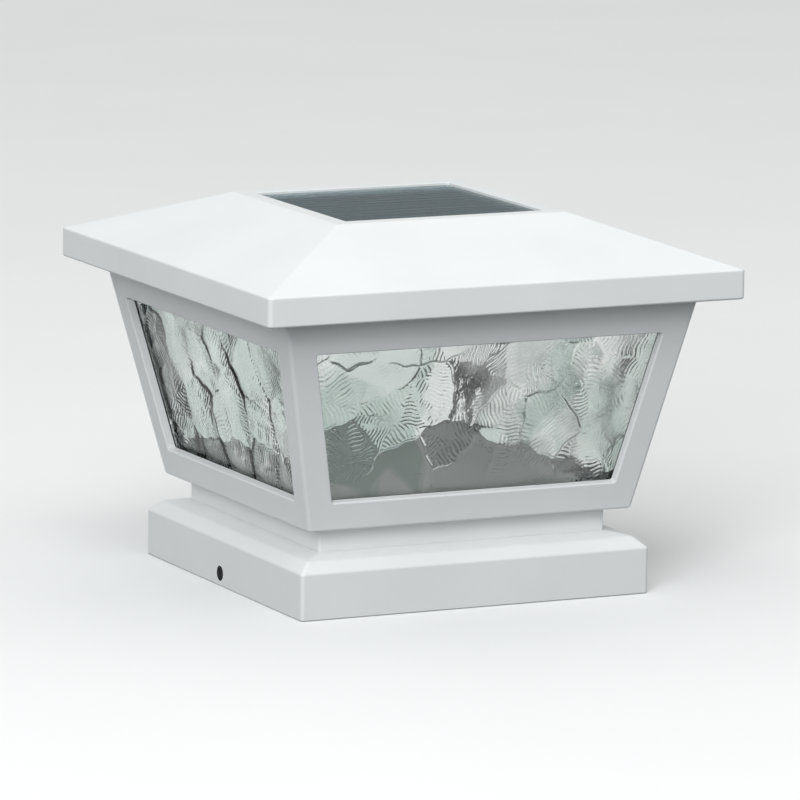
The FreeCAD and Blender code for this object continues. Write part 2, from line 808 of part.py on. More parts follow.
def make_roof_cap():
    """The hipped casting: an outer block with the panel's pocket, less a hollow that leaves its
    bosses, its seal rib and the tray under the panel."""
    outer = new_body("roof_outer")
    rim = level_sketch(outer, "rim", eave_level)
    add_round_square(rim, roof_half, S.roof_corner)
    pad(outer, rim, S.rim_height)
    hip_low = level_sketch(outer, "hip_low", rim_top)
    add_round_square(hip_low, roof_half, S.roof_corner)
    hip_high = level_sketch(outer, "hip_high", plateau_level)
    add_round_square(hip_high, plateau_half, S.plateau_corner)
    loft(outer, hip_low, hip_high)
    pocket = level_sketch(outer, "panel_pocket", plateau_level)
    add_square(pocket, panel_pocket_half)
    cut_down(outer, pocket, plateau_level - pocket_floor)
    wire_hole = level_sketch(outer, "wire_hole", pocket_floor)
    add_circle(wire_hole, 0, wire_hole_y, S.wire_hole_radius)
    cut_down(outer, wire_hole, S.tray_floor + S.cut_over)

    hollow = new_body("roof_hollow")
    rim_hollow = level_sketch(hollow, "rim", eave_level)
    add_square(rim_hollow, roof_inner_half)
    pad(hollow, rim_hollow, inner_hip_level - eave_level)
    inner_low = level_sketch(hollow, "hip_low", inner_hip_level)
    add_square(inner_low, roof_inner_half)
    inner_high = level_sketch(hollow, "hip_high", plateau_under)
    add_square(inner_high, inner_plateau_half)
    loft(hollow, inner_low, inner_high)
    tall = plateau_level - eave_level
    tray = level_sketch(hollow, "tray", tray_under)
    add_square(tray, tray_half)
    cut_up(hollow, tray, tall)
    housing_bosses = level_sketch(hollow, "housing_bosses", cover_top)
    add_four_circles(housing_bosses, column_offset, S.housing_boss_radius)
    cut_up(hollow, housing_bosses, tall)
    corner_bosses = level_sketch(hollow, "corner_bosses", flange_top)
    add_four_circles(corner_bosses, roof_screw_offset, S.roof_boss_radius)
    cut_up(hollow, corner_bosses, tall)
    rib = level_sketch(hollow, "seal_rib", flange_top + S.roof_seal_thickness)
    rib_low_half = roof_seal_low_half + (S.roof_seal_width - S.seal_rib_thickness) / 2
    add_square(rib, rib_low_half + S.seal_rib_thickness)
    add_square(rib, rib_low_half)
    cut_up(hollow, rib, tall)
    housing_holes = level_sketch(hollow, "housing_holes", cover_top)
    add_four_circles(housing_holes, column_offset, S.housing_screw_radius + S.thread_clearance)
    pad(hollow, housing_holes, housing_screw_end + S.hole_spare - cover_top)
    corner_holes = level_sketch(hollow, "corner_holes", flange_top)
    add_four_circles(corner_holes, roof_screw_offset, S.roof_screw_radius + S.thread_clearance)
    pad(hollow, corner_holes, S.roof_screw_length + S.hole_spare - S.flange_thickness)

    cap = doc.addObject("Part::Cut", "roof_cap")
    cap.Base = outer
    cap.Tool = hollow
    keep(cap, "roof_cap")


def make_solar_panel():
    """The panel in the roof's pocket: tape, backing board, cell strips and clear cover."""
    tape = new_body("panel_tape")
    ring = level_sketch(tape, "ring", pocket_floor)
    add_square(ring, panel_half)
    add_square(ring, panel_half - S.panel_tape_width)
    pad(tape, ring, S.panel_tape_thickness)
    keep(tape, "panel_tape")
    low = (-panel_half, -panel_half)
    high = (panel_half, panel_half)
    board = plain_box("panel_board", (*low, panel_board_low), (*high, cells_low))
    keep(board, "panel_board")
    cover = plain_box("panel_cover", (*low, cover_low), (*high, plateau_level - S.panel_recess))
    keep(cover, "panel_cover")
    strips = []
    count = int(S.cell_count.number)
    cells_half = panel_half - S.cell_border
    pitch = (cells_half * 2 + S.cell_gap) / S.cell_count
    for index in range(count):
        start = -cells_half + pitch * index
        end = start + pitch - S.cell_gap
        low_corner = (-cells_half, start, cells_low)
        strips.append(plain_box(f"cell_strip_{index + 1}", low_corner, (cells_half, end, cover_low)))
    group("solar_cells", strips)


# ---------------------------------------------------------------- light housing
screw_head_seat = housing_bottom + S.housing_screw_sink
housing_screw_end = screw_head_seat + S.housing_screw_length
slot_half = (S.knob_length + S.knob_travel) / 2 + S.knob_gap
standoff_x = S.board_half_length - S.standoff_inset
standoff_front = board_front + S.standoff_inset
standoff_back = board_back - S.standoff_inset
red_wire_level = battery_level + S.cell_radius / 2
black_wire_level = battery_level


def add_board_circles(sketch, radius):
    """Circles at the circuit board's four fixing points."""
    for x in (-standoff_x, standoff_x):
        for y in (standoff_front, standoff_back):
            add_circle(sketch, x, y, radius)


def make_light_housing():
    """The moulded box under the roof: screw columns, battery tub, board standoffs and openings."""
    body = new_body("light_housing")
    outer = level_sketch(body, "outer", housing_bottom)
    add_round_square(outer, housing_half, S.housing_wall)
    pad(body, outer, S.housing_height)
    inner = level_sketch(body, "inner", housing_floor)
    add_square(inner, housing_half - S.housing_wall)
    cut_up(body, inner, S.housing_height)
    columns = level_sketch(body, "columns", housing_floor - S.housing_wall / 2)
    add_four_circles(columns, column_offset, S.column_radius)
    pad(body, columns, housing_top - housing_floor + S.housing_wall / 2)
    tub = level_sketch(body, "tub", housing_floor - S.housing_wall / 2)
    add_box(tub, -tub_half, tub_half, tub_front, housing_half - S.housing_wall / 2)
    pad(body, tub, bay_top - housing_floor + S.housing_wall / 2)
    standoffs = level_sketch(body, "standoffs", housing_floor - S.housing_wall / 2)
    add_board_circles(standoffs, S.standoff_radius)
    pad(body, standoffs, S.board_standoff + S.housing_wall / 2)

    bay = level_sketch(body, "bay", housing_bottom)
    add_box(bay, -bay_half, bay_half, bay_front, bay_back)
    cut_up(body, bay, bay_ceiling - housing_bottom)
    seat = level_sketch(body, "door_seat", housing_bottom)
    seat_half = door_half + S.door_gap
    add_box(seat, -seat_half, seat_half, door_front - S.door_gap, lug_front)
    cut_up(body, seat, door_seat - housing_bottom)
    trough = level_sketch(body, "hinge_trough", housing_bottom)
    trough_half = S.hinge_half_length + S.door_gap
    add_box(trough, -trough_half, trough_half, lug_front - S.door_gap, trough_back)
    cut_up(body, trough, trough_top - housing_bottom)
    bore_half = S.hinge_half_length + S.pivot_length + S.door_gap
    pivot_bore = sketch_on(body, "pivot_bore", "YZ_Plane", (0, 0, -bore_half))
    add_circle(pivot_bore, hinge_y, door_top, S.pivot_radius + S.pivot_clearance)
    cut_up(body, pivot_bore, bore_half * 2)

    lens_hole = level_sketch(body, "lens_hole", housing_bottom)
    add_circle(lens_hole, 0, 0, S.lens_radius)
    cut_up(body, lens_hole, S.housing_wall)
    slot = level_sketch(body, "switch_slot", housing_bottom)
    slot_side = S.knob_width / 2 + S.knob_gap * 2
    left = switch_x - slot_half - S.knob_gap
    right = switch_x + slot_half + S.knob_gap
    add_box(slot, left, right, switch_y - slot_side, switch_y + slot_side)
    cut_up(body, slot, S.housing_wall)
    sinks = level_sketch(body, "screw_sinks", housing_bottom)
    add_four_circles(sinks, column_offset, S.housing_screw_head + S.screw_clearance)
    cut_up(body, sinks, S.housing_screw_sink)
    holes = level_sketch(body, "screw_holes", screw_head_seat)
    add_four_circles(holes, column_offset, S.housing_screw_radius + S.screw_clearance)
    cut_up(body, holes, housing_top - screw_head_seat)
    board_holes = level_sketch(body, "board_holes", board_low)
    add_board_circles(board_holes, S.board_screw_radius + S.thread_clearance)
    cut_down(body, board_holes, S.board_screw_length - S.board_thickness + S.hole_spare)
    wire_holes = sketch_on(body, "wire_holes", "YZ_Plane", (0, 0, -bay_half))
    wire_hole = S.battery_wire_radius + S.wire_hole_gap
    add_circle(wire_holes, front_cell_y, black_wire_level, wire_hole)
    add_circle(wire_holes, back_cell_y, red_wire_level, wire_hole)
    cut_down(body, wire_holes, tub_half - bay_half)
    keep(body, "light_housing")


def make_housing_cover():
    """The lid that closes the housing under the roof, with its screws and the wires' grommet."""
    cover = new_body("housing_cover")
    plate = level_sketch(cover, "plate", housing_top)
    add_round_square(plate, housing_half, S.housing_wall)
    add_four_circles(plate, column_offset, S.housing_screw_radius + S.screw_clearance)
    grommet_seat = S.grommet_bore + S.grommet_lip
    add_circle(plate, 0, wire_hole_y, grommet_seat + S.fit_gap)
    pad(cover, plate, S.cover_thickness)
    keep(cover, "housing_cover")
    grommet = new_body("wire_grommet")
    profile = sketch_on(grommet, "profile", "XZ_Plane", (0, 0, S.wire_hole_back))
    lip = grommet_seat + S.grommet_lip
    low = housing_top - S.grommet_lip_thickness
    high = cover_top + S.grommet_lip_thickness
    points = [(S.grommet_bore, low), (lip, low), (lip, housing_top), (grommet_seat, housing_top)]
    points += [(grommet_seat, cover_top), (lip, cover_top), (lip, high), (S.grommet_bore, high)]
    add_outline(profile, points)
    spin(grommet, profile)
    keep(grommet, "wire_grommet")
    outline = screw_outline(
        screw_head_seat - S.housing_screw_head_height,
        S.housing_screw_head,
        S.housing_screw_head_height,
        S.housing_screw_radius,
        S.housing_screw_length,
    )
    corner_screws("housing_screws", column_offset, outline)


def make_circuit_board():
    """The board on its standoffs, its screws, its components and the four diodes under it."""
    board = new_body("circuit_board")
    plate = level_sketch(board, "plate", board_low)
    half = S.board_half_length
    add_box(plate, -half, half, board_front, board_back)
    add_board_circles(plate, S.board_screw_radius + S.screw_clearance)
    pad(board, plate, S.board_thickness)
    keep(board, "circuit_board")
    screws = new_body("board_screws")
    heads = level_sketch(screws, "heads", board_top)
    add_board_circles(heads, S.board_screw_head)
    pad(screws, heads, S.board_screw_head_height)
    shanks = level_sketch(screws, "shanks", board_top)
    add_board_circles(shanks, S.board_screw_radius)
    pad(screws, shanks, S.board_screw_length, reverse=True)
    keep(screws, "board_screws")
    chip_x = S.part_offset_x
    chip_y = board_front + S.part_from_front
    chip_low = (chip_x - S.chip_width / 2, chip_y - S.chip_width / 2, board_top)
    chip_high = (chip_x + S.chip_width / 2, chip_y + S.chip_width / 2, board_top + S.chip_height)
    chip = plain_box("control_chip", chip_low, chip_high)
    coil_top = board_top + S.coil_height
    coil = upright_cylinder("power_coil", -chip_x, chip_y, board_top, coil_top, S.coil_radius)
    group("board_components", [chip, coil])
    diodes = []
    size = S.led_width / 2
    for x_sign, y_sign in ((-1, -1), (1, -1), (1, 1), (-1, 1)):
        x = S.led_offset * x_sign
        y = S.led_offset * y_sign
        low = (x - size, y - size, board_low - S.led_height)
        diodes.append(plain_box(f"diode_{len(diodes) + 1}", low, (x + size, y + size, board_low)))
    group("led_chips", diodes)


def make_lens():
    """The frosted cup through the housing's floor, which spreads the light down into the lantern."""
    body = new_body("light_lens")
    profile = sketch_on(body, "profile", "XZ_Plane")
    tube = S.lens_radius - S.fit_gap
    flange = S.lens_radius + S.lens_lap
    inner = tube - S.lens_wall
    tip = tube - S.lens_chamfer
    low = housing_bottom - S.lens_drop
    shoulder = low + S.lens_chamfer
    high = housing_floor + S.lens_flange
    outside = [(0, low), (tip, low), (tube, shoulder), (tube, housing_floor), (flange, housing_floor)]
    inside = [(flange, high), (inner, high), (inner, shoulder + S.lens_wall / 2)]
    end = [(tip - S.lens_wall / 2, low + S.lens_wall), (0, low + S.lens_wall)]
    add_outline(profile, outside + inside + end)
    spin(body, profile)
    keep(body, "light_lens")


def make_switch():
    """The slide switch under the board and its knob, which rests at the slot's left end."""
    body = new_body("switch_body")
    case = level_sketch(body, "case", board_low - S.switch_height)
    half = S.switch_length / 2
    side = S.switch_width / 2
    add_box(case, switch_x - half, switch_x + half, switch_y - side, switch_y + side)
    pad(body, case, S.switch_height)
    slot = level_sketch(body, "slot", board_low - S.switch_height)
    slot_side = S.knob_width / 2 + S.knob_gap
    left = switch_x - slot_half
    right = switch_x + slot_half
    add_box(slot, left, right, switch_y - slot_side, switch_y + slot_side)
    cut_up(body, slot, S.switch_height / 2)
    keep(body, "switch_body")
    rest = switch_x - S.knob_travel / 2
    knob_half = S.knob_length / 2
    knob_side = S.knob_width / 2
    knob_top = board_low - S.switch_height / 2 - S.knob_gap
    low = (rest - knob_half, switch_y - knob_side, housing_bottom - S.knob_reach)
    high = (rest + knob_half, switch_y + knob_side, knob_top)
    keep(plain_box("switch_knob", low, high), "switch_knob")


# ---------------------------------------------------------------- round tubes along a path
BEND_SHARE = 0.45
POINTS_PER_TURN = 8
VOLUME_SLACK = 0.01


def tube_path(points):
    """Straight runs through the points, joined by tangent arcs as large as their runs allow."""
    edges = []
    start = points[0]
    for before, corner, after in zip(points, points[1:], points[2:]):
        back = before - corner
        ahead = after - corner
        reach = BEND_SHARE * min(back.Length, ahead.Length)
        back.normalize()
        ahead.normalize()
        middle = back + ahead
        middle.normalize()
        half_angle = back.getAngle(ahead) / 2
        radius = reach * math.tan(half_angle)
        arc_start = corner + back * reach
        arc_end = corner + ahead * reach
        centre = corner + middle * (reach / math.cos(half_angle))
        arc_middle = centre - middle * radius
        edges.append(Part.LineSegment(start, arc_start).toShape())
        edges.append(Part.Arc(arc_start, arc_middle, arc_end).toShape())
        start = arc_end
    edges.append(Part.LineSegment(start, points[-1]).toShape())
    return Part.Wire(edges)


def tube(name, radius, points):
    """A round section carried along the path through the points."""
    places = [Vector(*(as_size(value).number for value in point)) for point in points]
    path = tube_path(places)
    circle = Part.Circle(places[0], places[1] - places[0], radius.number)
    section = Part.Wire([circle.toShape()])
    item = doc.addObject("Part::Feature", name)
    item.Shape = path.makePipeShell([section], True, True)
    expected = math.pi * radius.number**2 * path.Length
    if abs(item.Shape.Volume / expected - 1) > VOLUME_SLACK:
        raise ValueError(f"{name} has the wrong volume")
    return item


# ---------------------------------------------------------------- batteries
def make_battery(name, y, direction):
    """An AA cell along X, its nub towards plus or minus X."""
    body = new_body(name)
    profile = sketch_on(body, "profile", "XZ_Plane", (0, battery_level, -y))
    nub_end = (bay_half - S.contact_thickness) * direction
    shoulder = nub_end - S.cell_nub_length * direction
    tail = nub_end - S.cell_length * direction
    points = [(tail, 0), (tail, S.cell_radius), (shoulder, S.cell_radius)]
    points += [(shoulder, S.cell_nub_radius), (nub_end, S.cell_nub_radius), (nub_end, 0)]
    add_outline(profile, points if direction > 0 else points[::-1])
    spin(body, profile, "H_Axis")
    keep(body, name)


def make_contacts():
    """Two plates at the bay's left end and one link plate at its right end."""
    inner = bay_half - S.contact_thickness
    half_width = S.cell_radius - S.bay_side_play
    low = battery_level - S.contact_height / 2
    high = battery_level + S.contact_height / 2
    plates = []
    for index, y in enumerate((front_cell_y, back_cell_y)):
        low_corner = (-bay_half, y - half_width, low)
        high_corner = (-inner, y + half_width, high)
        plates.append(plain_box(f"end_plate_{index + 1}", low_corner, high_corner))
    link_low = (inner, front_cell_y - half_width, low)
    link_high = (bay_half, back_cell_y + half_width, high)
    plates.append(plain_box("link_plate", link_low, link_high))
    group("battery_contacts", plates)


def make_springs():
    """A coil behind each cell's tail, held between it and the contact plate."""
    inner = bay_half - S.contact_thickness
    left = -inner + S.spring_wire
    right = inner - S.spring_room + S.spring_wire
    run = (S.spring_room - S.spring_wire * 2).number
    turns = round(run / S.spring_pitch.number)
    springs = []
    for index, (start, y) in enumerate(((left, front_cell_y), (right, back_cell_y))):
        points = []
        steps = turns * POINTS_PER_TURN
        for step in range(steps + 1):
            angle = 2 * math.pi * step / POINTS_PER_TURN
            across = y.number + S.spring_radius.number * math.cos(angle)
            up = battery_level.number + S.spring_radius.number * math.sin(angle)
            points.append(Vector(start.number + run * step / steps, across, up))
        springs.append(tube(f"spring_{index + 1}", S.spring_wire, points))
    group("battery_springs", springs)


def make_battery_door():
    """The flat door under the cells, with a tongue to its round knuckle and two stub pivots."""
    body = new_body("battery_door")
    plate = level_sketch(body, "plate", housing_bottom)
    tongue = S.hinge_half_length
    points = [(-door_half, door_front), (door_half, door_front), (door_half, door_plate_back)]
    points += [(tongue, door_plate_back), (tongue, hinge_y), (-tongue, hinge_y)]
    points += [(-tongue, door_plate_back), (-door_half, door_plate_back)]
    add_outline(plate, points)
    pad(body, plate, S.door_thickness)
    knuckle = sketch_on(body, "knuckle", "YZ_Plane", (0, 0, -tongue))
    add_circle(knuckle, hinge_y, door_top, S.knuckle_radius)
    pad(body, knuckle, tongue * 2)
    pivot_half = tongue + S.pivot_length
    pivots = sketch_on(body, "pivots", "YZ_Plane", (0, 0, -pivot_half))
    add_circle(pivots, hinge_y, door_top, S.pivot_radius)
    pad(body, pivots, pivot_half * 2)
    keep(body, "battery_door")


# ---------------------------------------------------------------- wires inside the housing
def make_wires():
    """Panel to board through the grommet, and battery contacts to board round the tub's side."""
    bend_level = housing_top - S.wire_bend_room
    pad_x = S.panel_pad_x
    pad_y = wire_hole_y - S.panel_pad_front
    for name, side in (("panel_wire_red", 1), ("panel_wire_black", -1)):
        points = [
            (S.wire_spread * side, wire_hole_y, panel_board_low),
            (S.wire_spread * side, wire_hole_y, bend_level),
            (pad_x * side, pad_y, board_top + S.wire_bend_room),
            (pad_x * side, pad_y, board_top),
        ]
        keep(tube(name, S.panel_wire_radius, points), name)
    solder_x = -(standoff_x - S.board_screw_head)
    routes = (
        ("battery_wire_red", back_cell_y, red_wire_level, S.red_wire_out, S.red_wire_front),
        ("battery_wire_black", front_cell_y, black_wire_level, S.black_wire_out, S.black_wire_front),
    )
    for name, y, level, out, front in routes:
        aisle_x = -(tub_half + out)
        points = [
            (-bay_half, y, level),
            (aisle_x, y, level),
            (aisle_x, -front, level),
            (solder_x, -front, level),
            (solder_x, -front, board_top),
        ]
        keep(tube(name, S.battery_wire_radius, points), name)


# ---------------------------------------------------------------- build, check and write
def build():
    make_base_skirt()
    make_neck_collar()
    make_base_screws()
    make_lantern_frame()
    make_glass_and_seals()
    make_glass_clips()
    make_roof_seal()
    make_roof_screws()
    make_roof_cap()
    make_solar_panel()
    make_light_housing()
    make_housing_cover()
    make_circuit_board()
    make_lens()
    make_switch()
    make_battery("battery_front", front_cell_y, 1)
    make_battery("battery_back", back_cell_y, -1)
    make_contacts()
    make_springs()
    make_battery_door()
    make_wires()
    doc.recompute()


def check():
    """Stops on a failed object, or on a sub-part that is empty or not valid."""
    for item in doc.Objects:
        if "Invalid" in item.State or "Error" in item.State:
            raise ValueError(f"{item.Name} failed: {item.State}")
    for name, item in nodes.items():
        if item.Shape.isNull() or not item.Shape.isValid():
            raise ValueError(f"{name} has no valid shape")


build()
check()
os.makedirs("parts", exist_ok=True)
for name, item in nodes.items():
    item.Shape.exportStep(f"parts/{name}.step")
    print(f"{name}: {len(item.Shape.Solids)} solid, {item.Shape.Volume / 1000:.2f} cm3")
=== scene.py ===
import math

import bmesh
import bpy
import numpy as np
from bpy.props import FloatProperty, FloatVectorProperty, IntProperty, PointerProperty
from mathutils import Matrix, Vector


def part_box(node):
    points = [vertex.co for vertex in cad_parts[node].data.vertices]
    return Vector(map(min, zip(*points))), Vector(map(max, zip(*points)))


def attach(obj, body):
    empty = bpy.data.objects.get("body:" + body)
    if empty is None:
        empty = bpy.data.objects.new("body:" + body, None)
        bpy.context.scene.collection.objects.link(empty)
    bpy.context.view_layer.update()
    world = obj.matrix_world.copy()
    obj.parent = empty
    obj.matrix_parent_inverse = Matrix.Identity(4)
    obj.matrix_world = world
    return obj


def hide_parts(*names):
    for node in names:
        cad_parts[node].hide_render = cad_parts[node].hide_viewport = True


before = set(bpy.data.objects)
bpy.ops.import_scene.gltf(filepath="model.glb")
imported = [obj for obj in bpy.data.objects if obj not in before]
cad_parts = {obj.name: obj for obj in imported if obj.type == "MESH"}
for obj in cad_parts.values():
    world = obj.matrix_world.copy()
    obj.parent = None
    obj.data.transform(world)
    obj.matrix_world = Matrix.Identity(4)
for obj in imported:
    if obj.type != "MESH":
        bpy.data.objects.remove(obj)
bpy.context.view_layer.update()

bl_info = {
    "name": "Solar Post Cap Light",
    "version": (1, 0, 0),
    "blender": (4, 5, 0),
    "location": "View3D > Sidebar > Post Cap",
    "description": "Castings, textured glass, solar panel and light module of a deck post cap light",
    "category": "Object",
}

MM = 0.001
# how far a cutter reaches past the metal that it cuts, and a boss into the wall that it stands on
PAST = 1 * MM
# radius of an edge or corner that a casting leaves nearly sharp
CRISP = 0.3 * MM


def linear(code, alpha=1.0):
    """An sRGB hex colour as linear light: each channel to the power 2.4 after the sRGB offset."""
    channels = np.array([int(code[i : i + 2], 16) for i in (1, 3, 5)]) / 255
    light = np.where(channels > 0.04045, ((channels + 0.055) / 1.055) ** 2.4, channels / 12.92)
    return (*light.tolist(), alpha)


def length(name, description, millimetres):
    """A length property, given in millimetres and kept in metres."""
    return FloatProperty(
        name=name, description=description, default=millimetres * MM, unit="LENGTH", precision=5
    )


def number(name, description, value):
    """A property that holds a plain number."""
    return FloatProperty(name=name, description=description, default=value)


def angle(name, description, degrees):
    """An angle property, given in degrees and kept in radians."""
    turn = math.radians(degrees)
    return FloatProperty(name=name, description=description, default=turn, subtype="ANGLE")


def colour(name, description, code):
    """A colour property, given as an sRGB hex value."""
    shade = linear(code)[:3]
    return FloatVectorProperty(
        name=name, description=description, default=shade, subtype="COLOR", size=3, min=0, max=1
    )


def screw_sizes(name, description, head, head_height, shank, run):
    """A screw's head radius, head height, shank radius and shank length, given in millimetres."""
    sizes = [size * MM for size in (head, head_height, shank, run)]
    return FloatVectorProperty(
        name=name, description=description, default=sizes, size=4, unit="LENGTH", precision=5
    )


# ---------------------------------------------------------------- settings
class SkirtSettings(bpy.types.PropertyGroup):
    """Sizes of the casting that drops over the post, and of the neck on it."""

    wall: length("Wall", "Thickness of the skirt's wall", 2.5)
    side_height: length("Side height", "Height of the upright side, up to the bevel", 16.4)
    socket_depth: length("Socket depth", "How far the post goes in", 15.4)
    floor_top: length("Floor top", "Height of the floor that the neck stands on", 18.4)
    bevel_width: length("Bevel width", "Width of the bevel round the top", 4.0)
    bevel_rise: length("Bevel rise", "Height of the bevel round the top", 3.6)
    neck_wall: length("Neck wall", "Thickness of the neck", 2.5)
    neck_gap: length("Neck gap", "Gap round the neck where it stands on the floor", 0.15)
    neck_corner: length("Neck corner", "Radius of the neck's upright corners", 1.0)
    corner: length("Corner", "Radius of the upright corners", 1.4)
    edge: length("Edge", "Radius of the level edges", 0.9)
    hole_radius: length("Hole radius", "Radius of the side screw hole", 2.7)
    hole_height: length("Hole height", "Height of the side screw hole's middle", 4.6)
    hole_offset: length("Hole offset", "How far the side screw hole lies behind the middle", 2.0)
    sink_radius: length("Sink radius", "Radius of the sinks for the base screws' heads", 3.7)
    sink_depth: length("Sink depth", "Depth of those sinks", 2.2)
    screw_hole: length("Screw hole", "Radius of the holes for the base screws", 1.95)


class LanternSettings(bpy.types.PropertyGroup):
    """Sizes of the flared casting that holds the panes."""

    wall: length("Wall", "Thickness of the four faces", 3.0)
    floor: length("Floor", "Thickness of the floor", 2.5)
    flange: length("Flange", "Thickness of the flange at the top", 2.0)
    bottom_width: length("Bottom width", "Width across the bottom", 124.5)
    top_width: length("Top width", "Width across the top, under the flange", 158.1)
    stile: length("Stile", "Width of metal beside a window", 10.0)
    bottom_rail: length("Bottom rail", "Width of metal under a window", 10.3)
    top_rail: length("Top rail", "Width of metal over a window", 13.4)
    corner: length("Corner", "Radius of the leaning corners", 1.5)
    window_corner: length("Window corner", "Radius in the corners of a window", 0.9)
    edge: length("Edge", "Radius round a window's outer edge", 0.6)
    rib_width: length("Rib width", "Width of the rib behind a pane's foot", 80.0)
    rib_height: length("Rib height", "Height of that rib", 7.0)
    rib_thickness: length("Rib thickness", "Thickness of that rib", 2.0)
    rib_gap: length("Rib gap", "Gap between that rib and the pane", 0.3)
    clip_place: length("Clip place", "How far the clips stand from a face's middle", 28.0)
    clip_rise: length("Clip rise", "How far the clips' screws stand above a window", 7.5)
    clip_gap: length("Clip gap", "Gap between a pane and its clips", 0.2)
    clip_thickness: length("Clip thickness", "Thickness of a clip", 0.8)
    boss_radius: length("Boss radius", "Radius of the bosses under the clips", 3.0)
    floor_boss: length("Floor boss", "Radius of the bosses under the floor, over the base screws", 4.2)
    screw_hole: length("Screw hole", "Radius of the holes for the roof screws", 1.7)


class GlassSettings(bpy.types.PropertyGroup):
    """Sizes of the panes and of the relief rolled into them."""

    thickness: length("Thickness", "Thickness of a pane", 2.5)
    seal: length("Seal", "Thickness of the foam between frame and pane", 0.5)
    lap: length("Lap", "How far a pane reaches behind the frame", 2.5)
    foot_gap: length("Foot gap", "Gap under a pane's foot", 0.05)
    cell_width: length("Cell width", "Usual width of a cell of the relief", 20.0)
    cell_height: length("Cell height", "Usual height of a cell of the relief", 20.0)
    cell_drop: length("Cell drop", "Most that one cell lies behind another", 0.05)
    cell_tilt: number("Cell tilt", "Usual slope of a cell's face", 0.028)
    cell_crown: length("Cell crown", "How far a cell's middle stands proud of its border", 0.5)
    relief: length("Relief", "Greatest depth of the relief", 1.9)
    crease: length("Crease", "Width of the fold between two cells", 0.5)
    groove_pitch: length("Groove pitch", "Distance between the fine grooves", 1.5)
    groove_depth: length("Groove depth", "Depth of the fine grooves", 0.14)
    groove_reach: length("Groove reach", "How far the grooves run in from a cell's border", 9.0)
    spacing: length("Mesh spacing", "Distance between points of the relief's mesh", 0.38)
    tint: colour("Tint", "Colour of light through its thinner fields", "#FCFDFC")
    thick_tint: colour("Thick tint", "Colour of light through its thicker fields", "#D8E2DE")


class RoofSettings(bpy.types.PropertyGroup):
    """Sizes of the hipped roof and of its pocket for the panel."""

    wall: length("Wall", "Thickness of the roof", 2.5)
    rim_height: length("Rim height", "Height of the upright rim", 10.4)
    top_width: length("Top width", "Width of the flat top", 88.4)
    tray_floor: length("Tray floor", "Thickness under the panel's pocket", 2.2)
    panel_gap: length("Panel gap", "Gap round the panel", 0.4)
    corner: length("Corner", "Radius of the rim's upright corners", 1.7)
    top_corner: length("Top corner", "Radius in the corners of the flat top", 0.8)
    edge: length("Edge", "Radius of the level edges", 0.9)
    boss_radius: length("Boss radius", "Radius of the corner bosses", 3.4)
    housing_boss: length("Housing boss", "Radius of the bosses over the light housing", 3.75)
    seal_width: length("Seal width", "Width of the foam seal", 3.0)
    seal_rib: length("Seal rib", "Thickness of the rib over the seal", 1.4)
    wire_hole: length("Wire hole", "Radius of the panel wires' hole", 4.0)
    wire_place: length("Wire place", "How far the wires' hole lies before the middle", 26.0)


class ScrewSettings(bpy.types.PropertyGroup):
    """Sizes of the screws: head radius, head height, shank radius, shank length."""

    base: screw_sizes("Base screws", "Countersunk, up through the socket's ceiling", 3.5, 2.2, 1.75, 12.4)
    roof: screw_sizes("Roof screws", "Under the eaves", 2.7, 1.6, 1.5, 8.0)
    clip: screw_sizes("Clip screws", "Through the glass clips", 2.7, 1.8, 1.2, 5.0)
    housing: screw_sizes("Housing screws", "Up through the light housing", 2.8, 2.4, 1.5, 15.0)
    board: screw_sizes("Board screws", "Down through the circuit board", 2.1, 1.4, 1.1, 4.6)


class ModuleSettings(bpy.types.PropertyGroup):
    """Sizes of the lens, the cells and the moulded edges of the light module."""

    housing_floor: length("Housing floor", "Thickness of the housing's floor", 2.0)
    housing_edge: length("Housing edge", "Width of the housing's soft edges", 0.35)
    lid_edge: length("Lid edge", "Width of the cover's and the battery door's soft edges", 0.3)
    small_edge: length("Small edge", "Width of the soft edges on switch, knob and chips", 0.15)
    lens_radius: length("Lens radius", "Radius of the lens below its flange", 11.35)
    lens_wall: length("Lens wall", "Thickness of the lens", 1.6)
    lens_chamfer: length("Lens chamfer", "Size of the chamfer round the lens's lower end", 2.0)
    lens_ring: length("Lens ring", "Width of each ring on the lens", 1.55)
    lens_ring_depth: length("Lens ring depth", "Depth of the rings on the lens", 0.35)
    nub_radius: length("Nub radius", "Radius of a cell's nub", 2.75)
    nub_height: length("Nub height", "Height of a cell's nub", 1.3)
    can_edge: length("Can edge", "Size of the chamfers round a cell's can", 0.5)
    crimp_place: length("Crimp place", "From a can's shoulder to the middle of its crimp", 3.6)
    crimp_reach: length("Crimp reach", "Half the width of the crimp", 0.6)
    crimp_depth: length("Crimp depth", "Depth of the crimp", 0.3)


class FinishSettings(bpy.types.PropertyGroup):
    """Colours of the finishes."""

    coat: colour("Powder coat", "White of the castings", "#F1F2F2")
    plastic: colour("Housing plastic", "White of the moulded housing", "#E9E9E4")
    foam: colour("Foam", "Black of the seals", "#242527")
    cells: colour("Solar cells", "Blue green of the coated silicon", "#264F5E")
    sleeve: colour("Battery sleeve", "Green of the shrink sleeves", "#4C7A52")
    floor: colour("Studio floor", "Pale floor under the light", "#FAFAFA")


